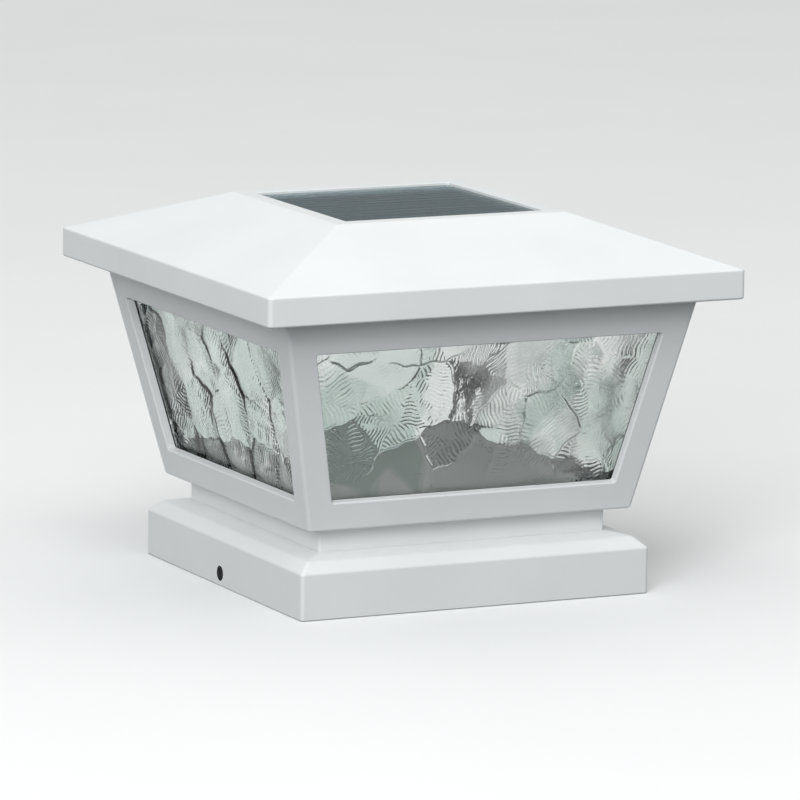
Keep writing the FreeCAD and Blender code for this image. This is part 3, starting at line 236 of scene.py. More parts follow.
class StageSettings(bpy.types.PropertyGroup):
    """The studio: strengths of its lights and the place of its camera."""

    overhead: number("Overhead", "Strength of the tent overhead", 0.75)
    level: number("Level", "Strength of the tent round the horizon", 0.35)
    below: number("Below", "Strength of the tent below", 0.05)
    high: number("High light", "Power of the high light, in watts", 8)
    middle: number("Middle light", "Power of the middle light, in watts", 15)
    low: number("Low light", "Power of the low light, in watts", 22)
    turn: angle("Turn", "Camera's angle round the light", -25.49)
    rise: angle("Rise", "Camera's angle above the horizon", 9.64)
    roll: angle("Roll", "Camera's turn about its own axis", 0.634)
    distance: length("Distance", "From the camera to its aim", 2399.7)
    aim_height: length("Aim height", "Height of the camera's aim", 56.7)
    shift_right: length("Shift right", "How far the camera stands to the right of its line", 1.366)
    shift_up: length("Shift up", "How far the camera stands above its line", 5.762)
    lens: number("Lens", "Focal length in millimetres", 304.5)


class CapLightSettings(bpy.types.PropertyGroup):
    """All settings of the post cap light."""

    skirt: PointerProperty(name="Skirt", description="Skirt and neck sizes", type=SkirtSettings)
    lantern: PointerProperty(name="Lantern", description="Lantern sizes", type=LanternSettings)
    glass: PointerProperty(name="Glass", description="Pane and relief sizes", type=GlassSettings)
    roof: PointerProperty(name="Roof", description="Roof sizes", type=RoofSettings)
    screw: PointerProperty(name="Screws", description="Screw sizes", type=ScrewSettings)
    module: PointerProperty(name="Module", description="Lens and cell sizes", type=ModuleSettings)
    finish: PointerProperty(name="Finish", description="Colours", type=FinishSettings)
    stage: PointerProperty(name="Stage", description="Studio", type=StageSettings)
    steps: IntProperty(name="Steps", description="Flats in a rounded corner or edge", default=6, min=2)


def settings():
    """The settings, which the scene holds."""
    return bpy.context.scene.cap_light


# ---------------------------------------------------------------- surfaces
def round_corners(corners, radii, steps, closed=False):
    """Rounds a broken line. Each corner becomes the arc that touches both its lines: the arc starts
    and ends at the radius times the tangent of half the turn from the corner, and is drawn as the
    rational curve (1-t)2 A + 2wt(1-t) K + t2 B, whose weight w is the cosine of half the turn.
    The first two columns are the drawing plane, and any others follow along."""
    before = np.roll(corners, 1, axis=0)
    after = np.roll(corners, -1, axis=0)
    back = before - corners
    ahead = after - corners
    back_run = np.hypot(back[:, 0], back[:, 1])
    ahead_run = np.hypot(ahead[:, 0], ahead[:, 1])
    cosine = (back[:, :2] * ahead[:, :2]).sum(1) / (back_run * ahead_run)
    half_turn = (math.pi - np.arccos(np.clip(cosine, -1, 1))) / 2
    reach = np.asarray(radii) * np.tan(half_turn)
    start = corners + back * (reach / back_run)[:, None]
    end = corners + ahead * (reach / ahead_run)[:, None]
    share = np.linspace(0, 1, steps + 1)[None, :, None]
    weight = np.cos(half_turn)[:, None, None]
    parts = ((1 - share) ** 2, 2 * weight * share * (1 - share), share**2)
    arcs = sum(part * place[:, None] for part, place in zip(parts, (start, corners, end))) / sum(parts)
    if closed:
        return arcs.reshape(-1, corners.shape[1])
    return np.concatenate([corners[:1], arcs[1:-1].reshape(-1, corners.shape[1]), corners[-1:]])


def rings(rows, steps, centre=(0.0, 0.0)):
    """Stacked rounded rectangles. A row holds half the size across x and y, a height and a corner
    radius. The corner centres lie one radius inside, with a quarter circle round each."""
    half_x, half_y, height, radius = np.asarray(rows, float).T[:, :, None]
    quarter = np.arange(4).repeat(steps + 1)
    angle = (np.tile(np.linspace(0, 1, steps + 1), 4) + quarter) * math.pi / 2
    side_x = np.sign(np.cos((quarter + 0.5) * math.pi / 2))
    side_y = np.sign(np.sin((quarter + 0.5) * math.pi / 2))
    x = centre[0] + side_x * (half_x - radius) + radius * np.cos(angle)
    y = centre[1] + side_y * (half_y - radius) + radius * np.sin(angle)
    return np.stack([x, y, height + 0 * angle], axis=-1)


def square_rings(profile, radii, steps):
    """Rings of a square section. The profile's corners are (half width, height, corner radius), and
    the radii round the edges that they sweep."""
    rows = round_corners(np.asarray(profile, float), radii, steps)
    return rings(rows[:, [0, 0, 1, 2]], steps)


def turned(outline, sides, centre=(0.0, 0.0)):
    """A surface of revolution: each (radius, height) of the outline is a circle about the centre."""
    radius, height = np.asarray(outline, float).T[:, :, None]
    angle = np.arange(sides) * 2 * math.pi / sides
    x = centre[0] + radius * np.cos(angle)
    y = centre[1] + radius * np.sin(angle)
    return np.stack([x, y, height + 0 * angle], axis=-1)


def rod(radius, low, high, sides, centre=(0.0, 0.0)):
    """A plain upright cylinder from one height to another, closed at both ends."""
    return turned([(0, low), (radius, low), (radius, high), (0, high)], sides, centre)


def closed_ends(grid):
    """The rings with their two ends drawn in to the middle, which closes them."""
    ends = [np.broadcast_to(ring.mean(axis=0), ring.shape)[None] for ring in (grid[0], grid[-1])]
    return np.concatenate([ends[0], grid, ends[1]])


def grid_faces(rows, columns, closed_rows=False, closed_columns=True):
    """Quads between neighbouring rows and columns of a grid numbered row by row."""
    row = np.arange(rows if closed_rows else rows - 1)[:, None]
    column = np.arange(columns if closed_columns else columns - 1)[None, :]
    low = row * columns
    high = (row + 1) % rows * columns
    beside = (column + 1) % columns
    return np.stack([low + column, low + beside, high + beside, high + column], axis=-1).reshape(-1, 4)


def face_measures():
    """A lantern face's length up the slope, and the sine and cosine of its lean from upright. The
    sine is also how much half the face's width grows for each metre up the slope."""
    lantern = settings().lantern
    _, neck_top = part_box("neck_collar")
    _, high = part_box("lantern_frame")
    height = high.z - lantern.flange - neck_top.z
    flare = (lantern.top_width - lantern.bottom_width) / 2
    slope_length = math.hypot(flare, height)
    return slope_length, flare / slope_length, height / slope_length


def pane_back():
    """Depth of a pane's inner side behind the outer side of its lantern face."""
    return settings().lantern.wall + settings().glass.seal + settings().glass.thickness


def clip_row():
    """Distance up the slope at which the clips' screws stand."""
    lantern = settings().lantern
    slope_length, _, _ = face_measures()
    return slope_length - lantern.top_rail + lantern.clip_rise


def on_side(points, quarter):
    """Carries points from a lantern face's own frame (across, up the slope, depth behind the face)
    to the part's frame: the front face leans outwards, and each quarter turns it on to the next."""
    _, neck_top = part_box("neck_collar")
    _, sine, cosine = face_measures()
    across, up, depth = np.moveaxis(points, -1, 0)
    y = depth * cosine - up * sine - settings().lantern.bottom_width / 2
    z = neck_top.z + depth * sine + up * cosine
    turn = quarter * math.pi / 2
    return np.stack(
        [across * math.cos(turn) - y * math.sin(turn), across * math.sin(turn) + y * math.cos(turn), z],
        axis=-1,
    )


# ---------------------------------------------------------------- meshes
def mesh_from(name, shells):
    """One mesh of closed shells, each a grid of points and its faces. Poles are merged, and the
    faces turned outwards."""
    points = np.concatenate([grid.reshape(-1, 3) for grid, _ in shells])
    starts = np.cumsum([0] + [grid.size // 3 for grid, _ in shells[:-1]])
    faces = [(face + start).tolist() for (_, face), start in zip(shells, starts)]
    mesh = bpy.data.meshes.new(name)
    mesh.from_pydata(points.tolist(), [], [quad for group in faces for quad in group])
    edit = bmesh.new()
    edit.from_mesh(mesh)
    bmesh.ops.remove_doubles(edit, verts=edit.verts, dist=1e-7)
    bmesh.ops.dissolve_degenerate(edit, edges=edit.edges, dist=1e-7)
    bmesh.ops.recalc_face_normals(edit, faces=edit.faces)
    edit.to_mesh(mesh)
    edit.free()
    return mesh


def shell(grid, closed_rows=False):
    """A ring grid with the faces between its rings."""
    return grid, grid_faces(grid.shape[0], grid.shape[1], closed_rows)


def cut_out(piece, shells):
    """Cuts closed shells out of a piece."""
    cutter = bpy.data.objects.new("cutter", mesh_from("cutter", shells))
    bpy.context.scene.collection.objects.link(cutter)
    cut = piece.modifiers.new("cut", "BOOLEAN")
    cut.operation = "DIFFERENCE"
    cut.solver = "EXACT"
    cut.object = cutter
    bpy.context.view_layer.update()
    solid = piece.evaluated_get(bpy.context.evaluated_depsgraph_get())
    mesh = bpy.data.meshes.new_from_object(solid)
    piece.modifiers.clear()
    piece.data = mesh
    bpy.data.objects.remove(cutter)


def join_on(piece, shells):
    """Adds closed shells to a piece, such as the bosses and ribs cast on to a wall."""
    extra = mesh_from("extra", shells)
    edit = bmesh.new()
    edit.from_mesh(piece.data)
    edit.from_mesh(extra)
    edit.to_mesh(piece.data)
    edit.free()
    bpy.data.meshes.remove(extra)


def add_piece(name, shells, body, nodes, material, cutters=(), extras=()):
    """A finished piece: its mesh, holes, added shells, shading, finish, body, and the nodes that it
    stands for."""
    piece = bpy.data.objects.new(name, mesh_from(name, shells))
    bpy.context.scene.collection.objects.link(piece)
    if cutters:
        cut_out(piece, cutters)
    if extras:
        join_on(piece, extras)
    return settle(piece, body, nodes, material)


def soften(name, node, body, material, width):
    """A moulded piece: a merged copy of its node, with every sharp edge rounded by a bevel."""
    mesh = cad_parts[node].data.copy()
    edit = bmesh.new()
    edit.from_mesh(mesh)
    bmesh.ops.remove_doubles(edit, verts=edit.verts, dist=1e-6)
    bmesh.ops.dissolve_limit(edit, angle_limit=math.radians(0.5), verts=edit.verts, edges=edit.edges)
    edit.to_mesh(mesh)
    edit.free()
    piece = bpy.data.objects.new(name, mesh)
    bpy.context.scene.collection.objects.link(piece)
    bevel = piece.modifiers.new("soft edges", "BEVEL")
    bevel.width = width
    bevel.segments = 2
    bevel.limit_method = "ANGLE"
    bevel.angle_limit = math.radians(35)
    return settle(piece, body, [node], material)


def settle(piece, body, nodes, material):
    """Shades and finishes a piece, puts it on its body and hides the nodes that it stands for."""
    piece.data.materials.clear()
    piece.data.materials.append(material)
    piece.data.shade_smooth()
    piece.data.set_sharp_from_angle(angle=math.radians(38))
    level = piece.modifiers.new("level faces", "WEIGHTED_NORMAL")
    level.keep_sharp = True
    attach(piece, body)
    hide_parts(*nodes)
    return piece


# ---------------------------------------------------------------- finishes
def plug(material, node, inputs):
    """Sets a node's inputs: to a number or a colour, or by a link from a socket or from another
    node's first output."""
    for key, value in inputs.items():
        if isinstance(value, bpy.types.Node):
            value = value.outputs[0]
        if isinstance(value, bpy.types.NodeSocket):
            material.node_tree.links.new(value, node.inputs[key])
        else:
            node.inputs[key].default_value = value


def add_node(material, kind, inputs=None, stops=(), **options):
    """Adds a node to a material or a world, with its inputs, a ramp's stops and its options."""
    node = material.node_tree.nodes.new(kind)
    for key, value in options.items():
        setattr(node, key, value)
    plug(material, node, inputs or {})
    for index, (place, shade) in enumerate(stops):
        if index == len(node.color_ramp.elements):
            node.color_ramp.elements.new(1.0)
        node.color_ramp.elements[index].position = place
        node.color_ramp.elements[index].color = shade
    return node


def per(millimetres):
    """Pattern scale on Object coordinates for a feature of this size."""
    return 1 / (millimetres * MM)


def wave_per(millimetres):
    """Scale of a Wave texture for bands this far apart: at a scale of 1 a band is pi / 10 wide."""
    return per(millimetres) * math.pi / 10


def finish(name, inputs):
    """A material with one Principled shader, and its pattern coordinates."""
    material = bpy.data.materials.new(name)
    material.use_nodes = True
    material.node_tree.nodes.clear()
    shader = add_node(material, "ShaderNodeBsdfPrincipled", inputs)
    add_node(material, "ShaderNodeOutputMaterial", {"Surface": shader})
    place = add_node(material, "ShaderNodeTexCoord").outputs["Object"]
    return material, shader, place


def darker(shade, share):
    """A linear colour with this share of its light."""
    return (*[channel * share for channel in shade[:3]], 1.0)


def powder_coated_aluminium():
    """Cast aluminium, shot blasted and powder coated white. The coat flows out to a satin skin with
    a very fine orange peel, which softens each reflection without hiding it."""
    coat = (*settings().finish.coat, 1.0)
    satin = {"Roughness": 0.44, "IOR": 1.5, "Specular IOR Level": 0.42}
    material, shader, place = finish("powder_coated_aluminium_white", satin)
    # faint clouds of about 38 mm where the coat is a little thinner
    cloud = add_node(material, "ShaderNodeTexNoise", {"Vector": place, "Scale": per(38), "Detail": 5.0})
    stops = [(0.35, darker(coat, 0.965)), (0.65, coat)]
    tone = add_node(material, "ShaderNodeValToRGB", {"Fac": cloud}, stops)
    # orange peel: waves of about 1.1 mm, a few hundredths of a millimetre deep
    peel = add_node(material, "ShaderNodeTexNoise", {"Vector": place, "Scale": per(1.1), "Detail": 2.0})
    bump = add_node(material, "ShaderNodeBump", {"Height": peel, "Distance": 0.03 * MM, "Strength": 0.3})
    plug(material, shader, {"Base Color": tone, "Normal": bump})
    return material


def rolled_glass():
    """Soda-lime glass rolled against a patterned cylinder. The relief is in the mesh. Iron in the
    glass gives the faint green, and the fire-polished skin stays clear but for hazy patches."""
    glass = settings().glass
    material, shader, place = finish("rolled_soda_lime_glass", {"IOR": 1.52, "Transmission Weight": 1.0})
    # ripples left as the skin cooled, about 2.4 mm apart and less than 0.1 mm deep
    ripple = add_node(material, "ShaderNodeTexNoise", {"Vector": place, "Scale": per(2.4), "Detail": 2.0})
    bump = add_node(material, "ShaderNodeBump", {"Height": ripple, "Distance": 0.06 * MM, "Strength": 1.0})
    # patches of about 25 mm where the roller left the skin clear or a little hazy
    patch = add_node(material, "ShaderNodeTexNoise", {"Vector": place, "Scale": per(25), "Detail": 1.0})
    spread = {"Value": patch, "From Min": 0.45, "From Max": 0.6, "To Min": 0.05, "To Max": 0.2}
    haze = add_node(material, "ShaderNodeMapRange", spread)
    # fields of about 24 mm in which the sheet is a little thicker or thinner, so greener or clearer
    field = add_node(
        material,
        "ShaderNodeTexVoronoi",
        {"Vector": place, "Scale": per(24), "Smoothness": 0.08},
        feature="SMOOTH_F1",
    )
    part = add_node(material, "ShaderNodeSeparateColor", {"Color": field.outputs["Color"]})
    stops = [(0.2, (*glass.thick_tint, 1.0)), (0.8, (*glass.tint, 1.0))]
    tone = add_node(material, "ShaderNodeValToRGB", {"Fac": part}, stops)
    plug(material, shader, {"Base Color": tone, "Roughness": haze, "Normal": bump})
    return material


def bore_metal_with_painted_shade():
    """Bare aluminium where a hole was drilled after coating, with painted shade: its grey is much darker
    than bare aluminium, so the hole reads dark. The drill's fine rings run round the hole, and the
    bright wall shows the dark inside of the socket."""
    material, shader, place = finish("bare_aluminium_with_painted_shade", {"Metallic": 1.0, "Roughness": 0.3})
    drill_rings = add_node(
        material,
        "ShaderNodeTexWave",
        {"Vector": place, "Scale": wave_per(0.6), "Distortion": 1.0, "Detail": 2.0},
        wave_type="BANDS",
        bands_direction="X",
        wave_profile="SIN",
    )
    # painted shade: these greys lie well below bare aluminium's, which darkens the hole's wall
    stops = [(0.35, linear("#8E9091")), (0.65, linear("#A9ABAC"))]
    tone = add_node(material, "ShaderNodeValToRGB", {"Fac": drill_rings.outputs["Fac"]}, stops)
    plug(material, shader, {"Base Color": tone})
    return material


def closed_cell_foam():
    """Black closed-cell foam strip, die cut. Matt, with pores of about 0.5 mm."""
    base = (*settings().finish.foam, 1.0)
    material, shader, place = finish("closed_cell_foam_black", {"Roughness": 0.9})
    pores = add_node(material, "ShaderNodeTexVoronoi", {"Vector": place, "Scale": per(0.5)})
    stops = [(0.1, darker(base, 0.6)), (0.5, base)]
    tone = add_node(material, "ShaderNodeValToRGB", {"Fac": pores}, stops)
    bump = add_node(material, "ShaderNodeBump", {"Height": pores, "Distance": 0.12 * MM, "Strength": 0.6})
    plug(material, shader, {"Base Color": tone, "Normal": bump})
    return material


def plated_steel(name, shade, roughness, grain):
    """Steel with a thin bright plating. Drawn or rolled stock leaves fine lines under the plating,
    which stretch the highlights."""
    material, shader, place = finish(name, {"Metallic": 1.0, "Roughness": roughness})
    stretch = add_node(material, "ShaderNodeMapping", {"Vector": place, "Scale": (1.0, 1.0, 0.08)})
    fine = {"Vector": stretch, "Scale": per(grain), "Detail": 3.0}
    lines = add_node(material, "ShaderNodeTexNoise", fine)
    stops = [(0.35, darker(linear(shade), 0.82)), (0.65, linear(shade))]
    tone = add_node(material, "ShaderNodeValToRGB", {"Fac": lines}, stops)
    bump = add_node(material, "ShaderNodeBump", {"Height": lines, "Distance": 0.02 * MM, "Strength": 0.25})
    plug(material, shader, {"Base Color": tone, "Normal": bump})
    return material


def monocrystalline_cells():
    """Cut silicon cells under fine silver fingers. The anti-reflection coat is a thin film that
    sends back only blue green, so it is drawn as a dark metal of that colour."""
    base = (*settings().finish.cells, 1.0)
    material, shader, place = finish("monocrystalline_silicon_cells", {"Metallic": 1.0, "Roughness": 0.4})
    # silver fingers every 2 mm, drawn 0.25 mm wide
    fingers = add_node(
        material,
        "ShaderNodeTexWave",
        {"Vector": place, "Scale": wave_per(2.0), "Distortion": 0.0, "Detail": 0.0},
        wave_type="BANDS",
        bands_direction="X",
        wave_profile="SIN",
    )
    stops = [(0.9, (0, 0, 0, 1)), (0.97, (1, 1, 1, 1))]
    line = add_node(material, "ShaderNodeValToRGB", {"Fac": fingers.outputs["Fac"]}, stops)
    # painted reflection: streaks along X, about 2.5 mm apart, lighten and darken the cells' colour in place
    # of the laminate's streaked reflections
    stretch = add_node(material, "ShaderNodeMapping", {"Vector": place, "Scale": (0.06, 1.0, 1.0)})
    along_x = {"Vector": stretch, "Scale": per(2.5), "Detail": 4.0}
    streaks = add_node(material, "ShaderNodeTexNoise", along_x)
    stops = [(0.3, darker(base, 0.7)), (0.7, darker(base, 1.3))]
    silicon = add_node(material, "ShaderNodeValToRGB", {"Fac": streaks}, stops)
    mixed = add_node(
        material, "ShaderNodeMix", {"Factor": line, "A": silicon, "B": linear("#5F8794")}, data_type="RGBA"
    )
    plug(material, shader, {"Base Color": mixed.outputs["Result"]})
    return material


def clear_laminate():
    """Clear weatherproof laminate over the cells: smooth, with the faint haze of a sunlit plastic.
    Its skin is etched against glare, so its IOR is set low: at a flat angle the sky shows in it only
    weakly, and the cells' colour comes through."""
    etched = {"Base Color": linear("#C9DCE0"), "Roughness": 0.12, "IOR": 1.12, "Transmission Weight": 1.0}
    material, shader, place = finish("clear_panel_laminate", etched)
    # drag marks of the laminating roller: streaks along X, about 3 mm apart
    stretch = add_node(material, "ShaderNodeMapping", {"Vector": place, "Scale": (0.05, 1.0, 1.0)})
    streaks = add_node(material, "ShaderNodeTexNoise", {"Vector": stretch, "Scale": per(3), "Detail": 4.0})
    bump = add_node(material, "ShaderNodeBump", {"Height": streaks, "Distance": 0.15 * MM, "Strength": 1.0})
    plug(material, shader, {"Normal": bump})
    return material


def moulded_plastic(name, shade, roughness=0.5):
    """Injection moulded ABS with a spark-eroded grain of about 0.3 mm, drawn at 0.6 mm to show."""
    material, shader, place = finish(name, {"Roughness": roughness, "IOR": 1.53})
    grain = add_node(material, "ShaderNodeTexNoise", {"Vector": place, "Scale": per(0.6), "Detail": 2.0})
    bump = add_node(material, "ShaderNodeBump", {"Height": grain, "Distance": 0.04 * MM, "Strength": 0.35})
    # flow marks from the mould, about 30 mm long
    flow = add_node(material, "ShaderNodeTexNoise", {"Vector": place, "Scale": per(30), "Detail": 2.0})
    stops = [(0.35, darker(shade, 0.94)), (0.65, shade)]
    tone = add_node(material, "ShaderNodeValToRGB", {"Fac": flow}, stops)
    plug(material, shader, {"Base Color": tone, "Normal": bump})
    return material


def frosted_polycarbonate():
    """Polycarbonate moulded with a blasted inner face: it passes light and shows no image."""
    frosted = {"Base Color": linear("#F3F4F2"), "Roughness": 0.45, "IOR": 1.58, "Transmission Weight": 0.55}
    material, shader, place = finish("frosted_polycarbonate", frosted)
    frost = add_node(material, "ShaderNodeTexNoise", {"Vector": place, "Scale": per(0.4), "Detail": 2.0})
    bump = add_node(material, "ShaderNodeBump", {"Height": frost, "Distance": 0.03 * MM, "Strength": 0.4})
    plug(material, shader, {"Normal": bump})
    return material


def circuit_laminate(name, mask, trace):
    """Glass-fibre laminate under solder mask. Copper tracks under the mask show as paler lines."""
    material, shader, place = finish(name, {"Roughness": 0.38, "IOR": 1.5})
    tracks = add_node(
        material,
        "ShaderNodeTexVoronoi",
        {"Vector": place, "Scale": per(4.0)},
        distance="CHEBYCHEV",
        feature="F1",
    )
    stops = [(0.52, linear(mask)), (0.56, linear(trace))]
    tone = add_node(material, "ShaderNodeValToRGB", {"Fac": tracks}, stops)
    plug(material, shader, {"Base Color": tone})
    return material


def phosphor_resin():
    """Silicone filled with yellow phosphor over each diode, slightly glossy."""
    material, shader, place = finish("phosphor_resin", {"Roughness": 0.3, "IOR": 1.45})
    dust = add_node(material, "ShaderNodeTexNoise", {"Vector": place, "Scale": per(0.5), "Detail": 2.0})
    stops = [(0.35, linear("#D9B63A")), (0.65, linear("#EBD169"))]
    tone = add_node(material, "ShaderNodeValToRGB", {"Fac": dust}, stops)
    plug(material, shader, {"Base Color": tone})
    return material


def shrink_sleeve():
    """PVC shrink sleeve round a steel can: glossy, with the can's bare ends beyond it and a pale ring
    near one of them."""
    low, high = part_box("battery_front")
    sleeve = (*settings().finish.sleeve, 1.0)
    steel = linear("#BFC1C0")
    ring = linear("#D9D6CB")
    material, shader, place = finish("pvc_shrink_sleeve", {"Roughness": 0.25, "IOR": 1.53})
    axes = add_node(material, "ShaderNodeSeparateXYZ", {"Vector": place})
    run = {"Value": axes.outputs["X"], "From Min": low.x, "From Max": high.x}
    along = add_node(material, "ShaderNodeMapRange", run)
    stops = [(0.0, steel), (0.04, sleeve), (0.78, ring), (0.86, sleeve), (0.97, steel)]
    bands = add_node(material, "ShaderNodeValToRGB", {"Fac": along}, stops)
    bands.color_ramp.interpolation = "CONSTANT"
    plug(material, shader, {"Base Color": bands})
    return material


def wire_insulation(name, shade):
    """PVC insulation, extruded smooth, with faint drag lines along the wire."""
    material, shader, place = finish(name, {"Roughness": 0.35, "IOR": 1.53})
    drag = add_node(material, "ShaderNodeTexNoise", {"Vector": place, "Scale": per(1.5), "Detail": 2.0})
    stops = [(0.35, darker(linear(shade), 0.85)), (0.65, linear(shade))]
    tone = add_node(material, "ShaderNodeValToRGB", {"Fac": drag}, stops)
    plug(material, shader, {"Base Color": tone})
    return material


def dress(material, *nodes):
    """Gives a finish to carried-over nodes, and keeps their shape."""
    for node in nodes:
        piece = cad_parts[node]
        if piece.material_slots:
            for place in piece.material_slots:
                place.material = material
        else:
            piece.data.materials.append(material)


# ---------------------------------------------------------------- castings
def corners_of(node, head):
    """The middles of four like screws, from the box round them and the radius of their heads."""
    low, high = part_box(node)
    xs = (low.x + head, high.x - head)
    ys = (low.y + head, high.y - head)
    return [(x, y) for x in xs for y in ys]


def pillar(centre, low, high, radius):
    """A round boss with a small chamfer at its free lower end."""
    outline = [(0, low), (radius - CRISP, low), (radius, low + CRISP), (radius, high), (0, high)]
    return shell(turned(outline, sides=32, centre=centre))


def build_skirt(coat):
    """Skirt: a square profile from the floor's middle over the shoulder and bevel, down the side, and
    back up inside the socket. The two screw holes are cut through its sides as one rod, and their
    walls are bare metal, darkened with painted shade."""
    skirt = settings().skirt
    low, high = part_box("base_skirt")
    _, neck_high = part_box("neck_collar")
    seat = neck_high.x + skirt.neck_gap
    inner = high.x - skirt.wall
    ceiling = skirt.socket_depth
    profile = [
        (0, skirt.floor_top, 0),
        (seat, skirt.floor_top, skirt.neck_corner),
        (seat, high.z, skirt.neck_corner),
        (high.x - skirt.bevel_width, skirt.side_height + skirt.bevel_rise, skirt.corner),
        (high.x, skirt.side_height, skirt.corner),
        (high.x, low.z, skirt.corner),
        (inner, low.z, CRISP),
        (inner, ceiling, CRISP),
        (0, ceiling, 0),
    ]
    # the coat fills the shoulder's edges most and the rim's least
    shoulder_edge = skirt.edge * 3
    bevel_edge = skirt.edge * 1.6
    rim_edge = skirt.edge * 0.6
    radii = [0, 0, CRISP, shoulder_edge, bevel_edge, rim_edge, CRISP, CRISP, 0]
    body = shell(square_rings(profile, radii, settings().steps))
    reach = high.x * 1.1
    hole = rod(skirt.hole_radius, -reach, reach, sides=40)[..., [2, 0, 1]]
    hole += np.array([0, skirt.hole_offset, skirt.hole_height])
    sink = [(0, ceiling - PAST), (skirt.sink_radius, ceiling - PAST), (skirt.sink_radius, ceiling)]
    sink += [(skirt.screw_hole, ceiling + skirt.sink_depth), (skirt.screw_hole, skirt.floor_top + PAST)]
    sink += [(0, skirt.floor_top + PAST)]
    head = settings().screw.base[0]
    cutters = [shell(hole)]
    for centre in corners_of("base_screws", head):
        cutters.append(shell(turned(sink, sides=32, centre=centre)))
    piece = add_piece("skirt_casting", [body], "base", ["base_skirt"], coat, cutters)
    # the holes' walls take the bore finish, whose dark grey is painted shade
    piece.data.materials.append(bore_metal_with_painted_shade())
    bore = skirt.hole_radius * 1.02
    for face in piece.data.polygons:
        off_axis = math.hypot(face.center.y - skirt.hole_offset, face.center.z - skirt.hole_height)
        if off_axis < bore and abs(face.normal.x) < 0.5 and abs(face.center.x) > inner:
            face.material_index = 1


def build_neck(coat):
    """Neck: a square tube, its profile a closed loop of four corners."""
    skirt = settings().skirt
    low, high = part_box("neck_collar")
    inner = high.x - skirt.neck_wall
    outer_corner = skirt.neck_corner
    inner_corner = outer_corner / 2
    edge = 0.2 * MM
    profile = [
        (high.x, low.z, outer_corner),
        (high.x, high.z, outer_corner),
        (inner, high.z, inner_corner),
        (inner, low.z, inner_corner),
    ]
    rows = round_corners(np.array(profile), [edge] * 4, steps=2, closed=True)
    grid = rings(rows[:, [0, 0, 1, 2]], settings().steps)
    add_piece("neck_casting", [shell(grid, True)], "base", ["neck_collar"], coat)


def trapezium(low, high, inset, radius):
    """A rounded trapezium on a lantern face, between two distances up the slope, whose sides keep
    one inset from the face's corners."""
    lantern = settings().lantern
    _, growth, _ = face_measures()
    low_half = lantern.bottom_width / 2 + low * growth - inset
    high_half = lantern.bottom_width / 2 + high * growth - inset
    corners = np.array([(-low_half, low), (low_half, low), (high_half, high), (-high_half, high)])
    return round_corners(corners, [radius] * 4, steps=4, closed=True)


def window_cutter(quarter):
    """A plug the shape of a window. Behind the face it is as wide as the window, and it widens to the
    face along a quarter circle, which leaves the window's edge rounded."""
    lantern = settings().lantern
    slope_length, _, _ = face_measures()
    edge = lantern.edge
    turn = np.linspace(0, math.pi / 2, settings().steps + 1)
    widths = np.concatenate([[edge], edge * (1 - np.sin(turn)), [0]])
    depths = np.concatenate([[-PAST], edge * (1 - np.cos(turn)), [lantern.wall + PAST]])
    outlines = [
        trapezium(
            lantern.bottom_rail - width,
            slope_length - lantern.top_rail + width,
            lantern.stile - width,
            lantern.window_corner + width,
        )
        for width in widths
    ]
    outline = np.stack(outlines)
    depth = np.broadcast_to(depths[:, None, None], (*outline.shape[:2], 1))
    plug_rings = closed_ends(np.concatenate([outline, depth], axis=-1))
    return shell(on_side(plug_rings, quarter))


def face_fittings():
    """What stands on the inside of each lantern face: a sill rib behind the pane's foot, and a boss
    behind the pane's top for each of its two clips."""
    lantern = settings().lantern
    _, sine, cosine = face_measures()
    rib_depth = pane_back() + lantern.rib_gap
    half_width = lantern.rib_width / 2
    half_thickness = lantern.rib_thickness / 2
    low = (lantern.floor / 2 - rib_depth * sine) / cosine
    high = low + lantern.rib_height
    corner = 0.6 * MM
    top_corner = 0.4 * MM
    rows = [
        (half_width, half_thickness, low, corner),
        (half_width, half_thickness, high - CRISP, corner),
        (half_width - CRISP, half_thickness - CRISP, high, top_corner),
    ]
    upright = rings(rows, steps=4, centre=(0, rib_depth + half_thickness))
    rib = closed_ends(upright)[..., [0, 2, 1]]
    clip_seat = pane_back() + lantern.clip_gap
    shells = []
    for quarter in range(4):
        shells.append(shell(on_side(rib, quarter)))
        for across in (-lantern.clip_place, lantern.clip_place):
            centre = (across, clip_row())
            boss = rod(lantern.boss_radius, lantern.wall / 2, clip_seat, sides=24, centre=centre)
            shells.append(shell(on_side(boss, quarter)))
    return shells


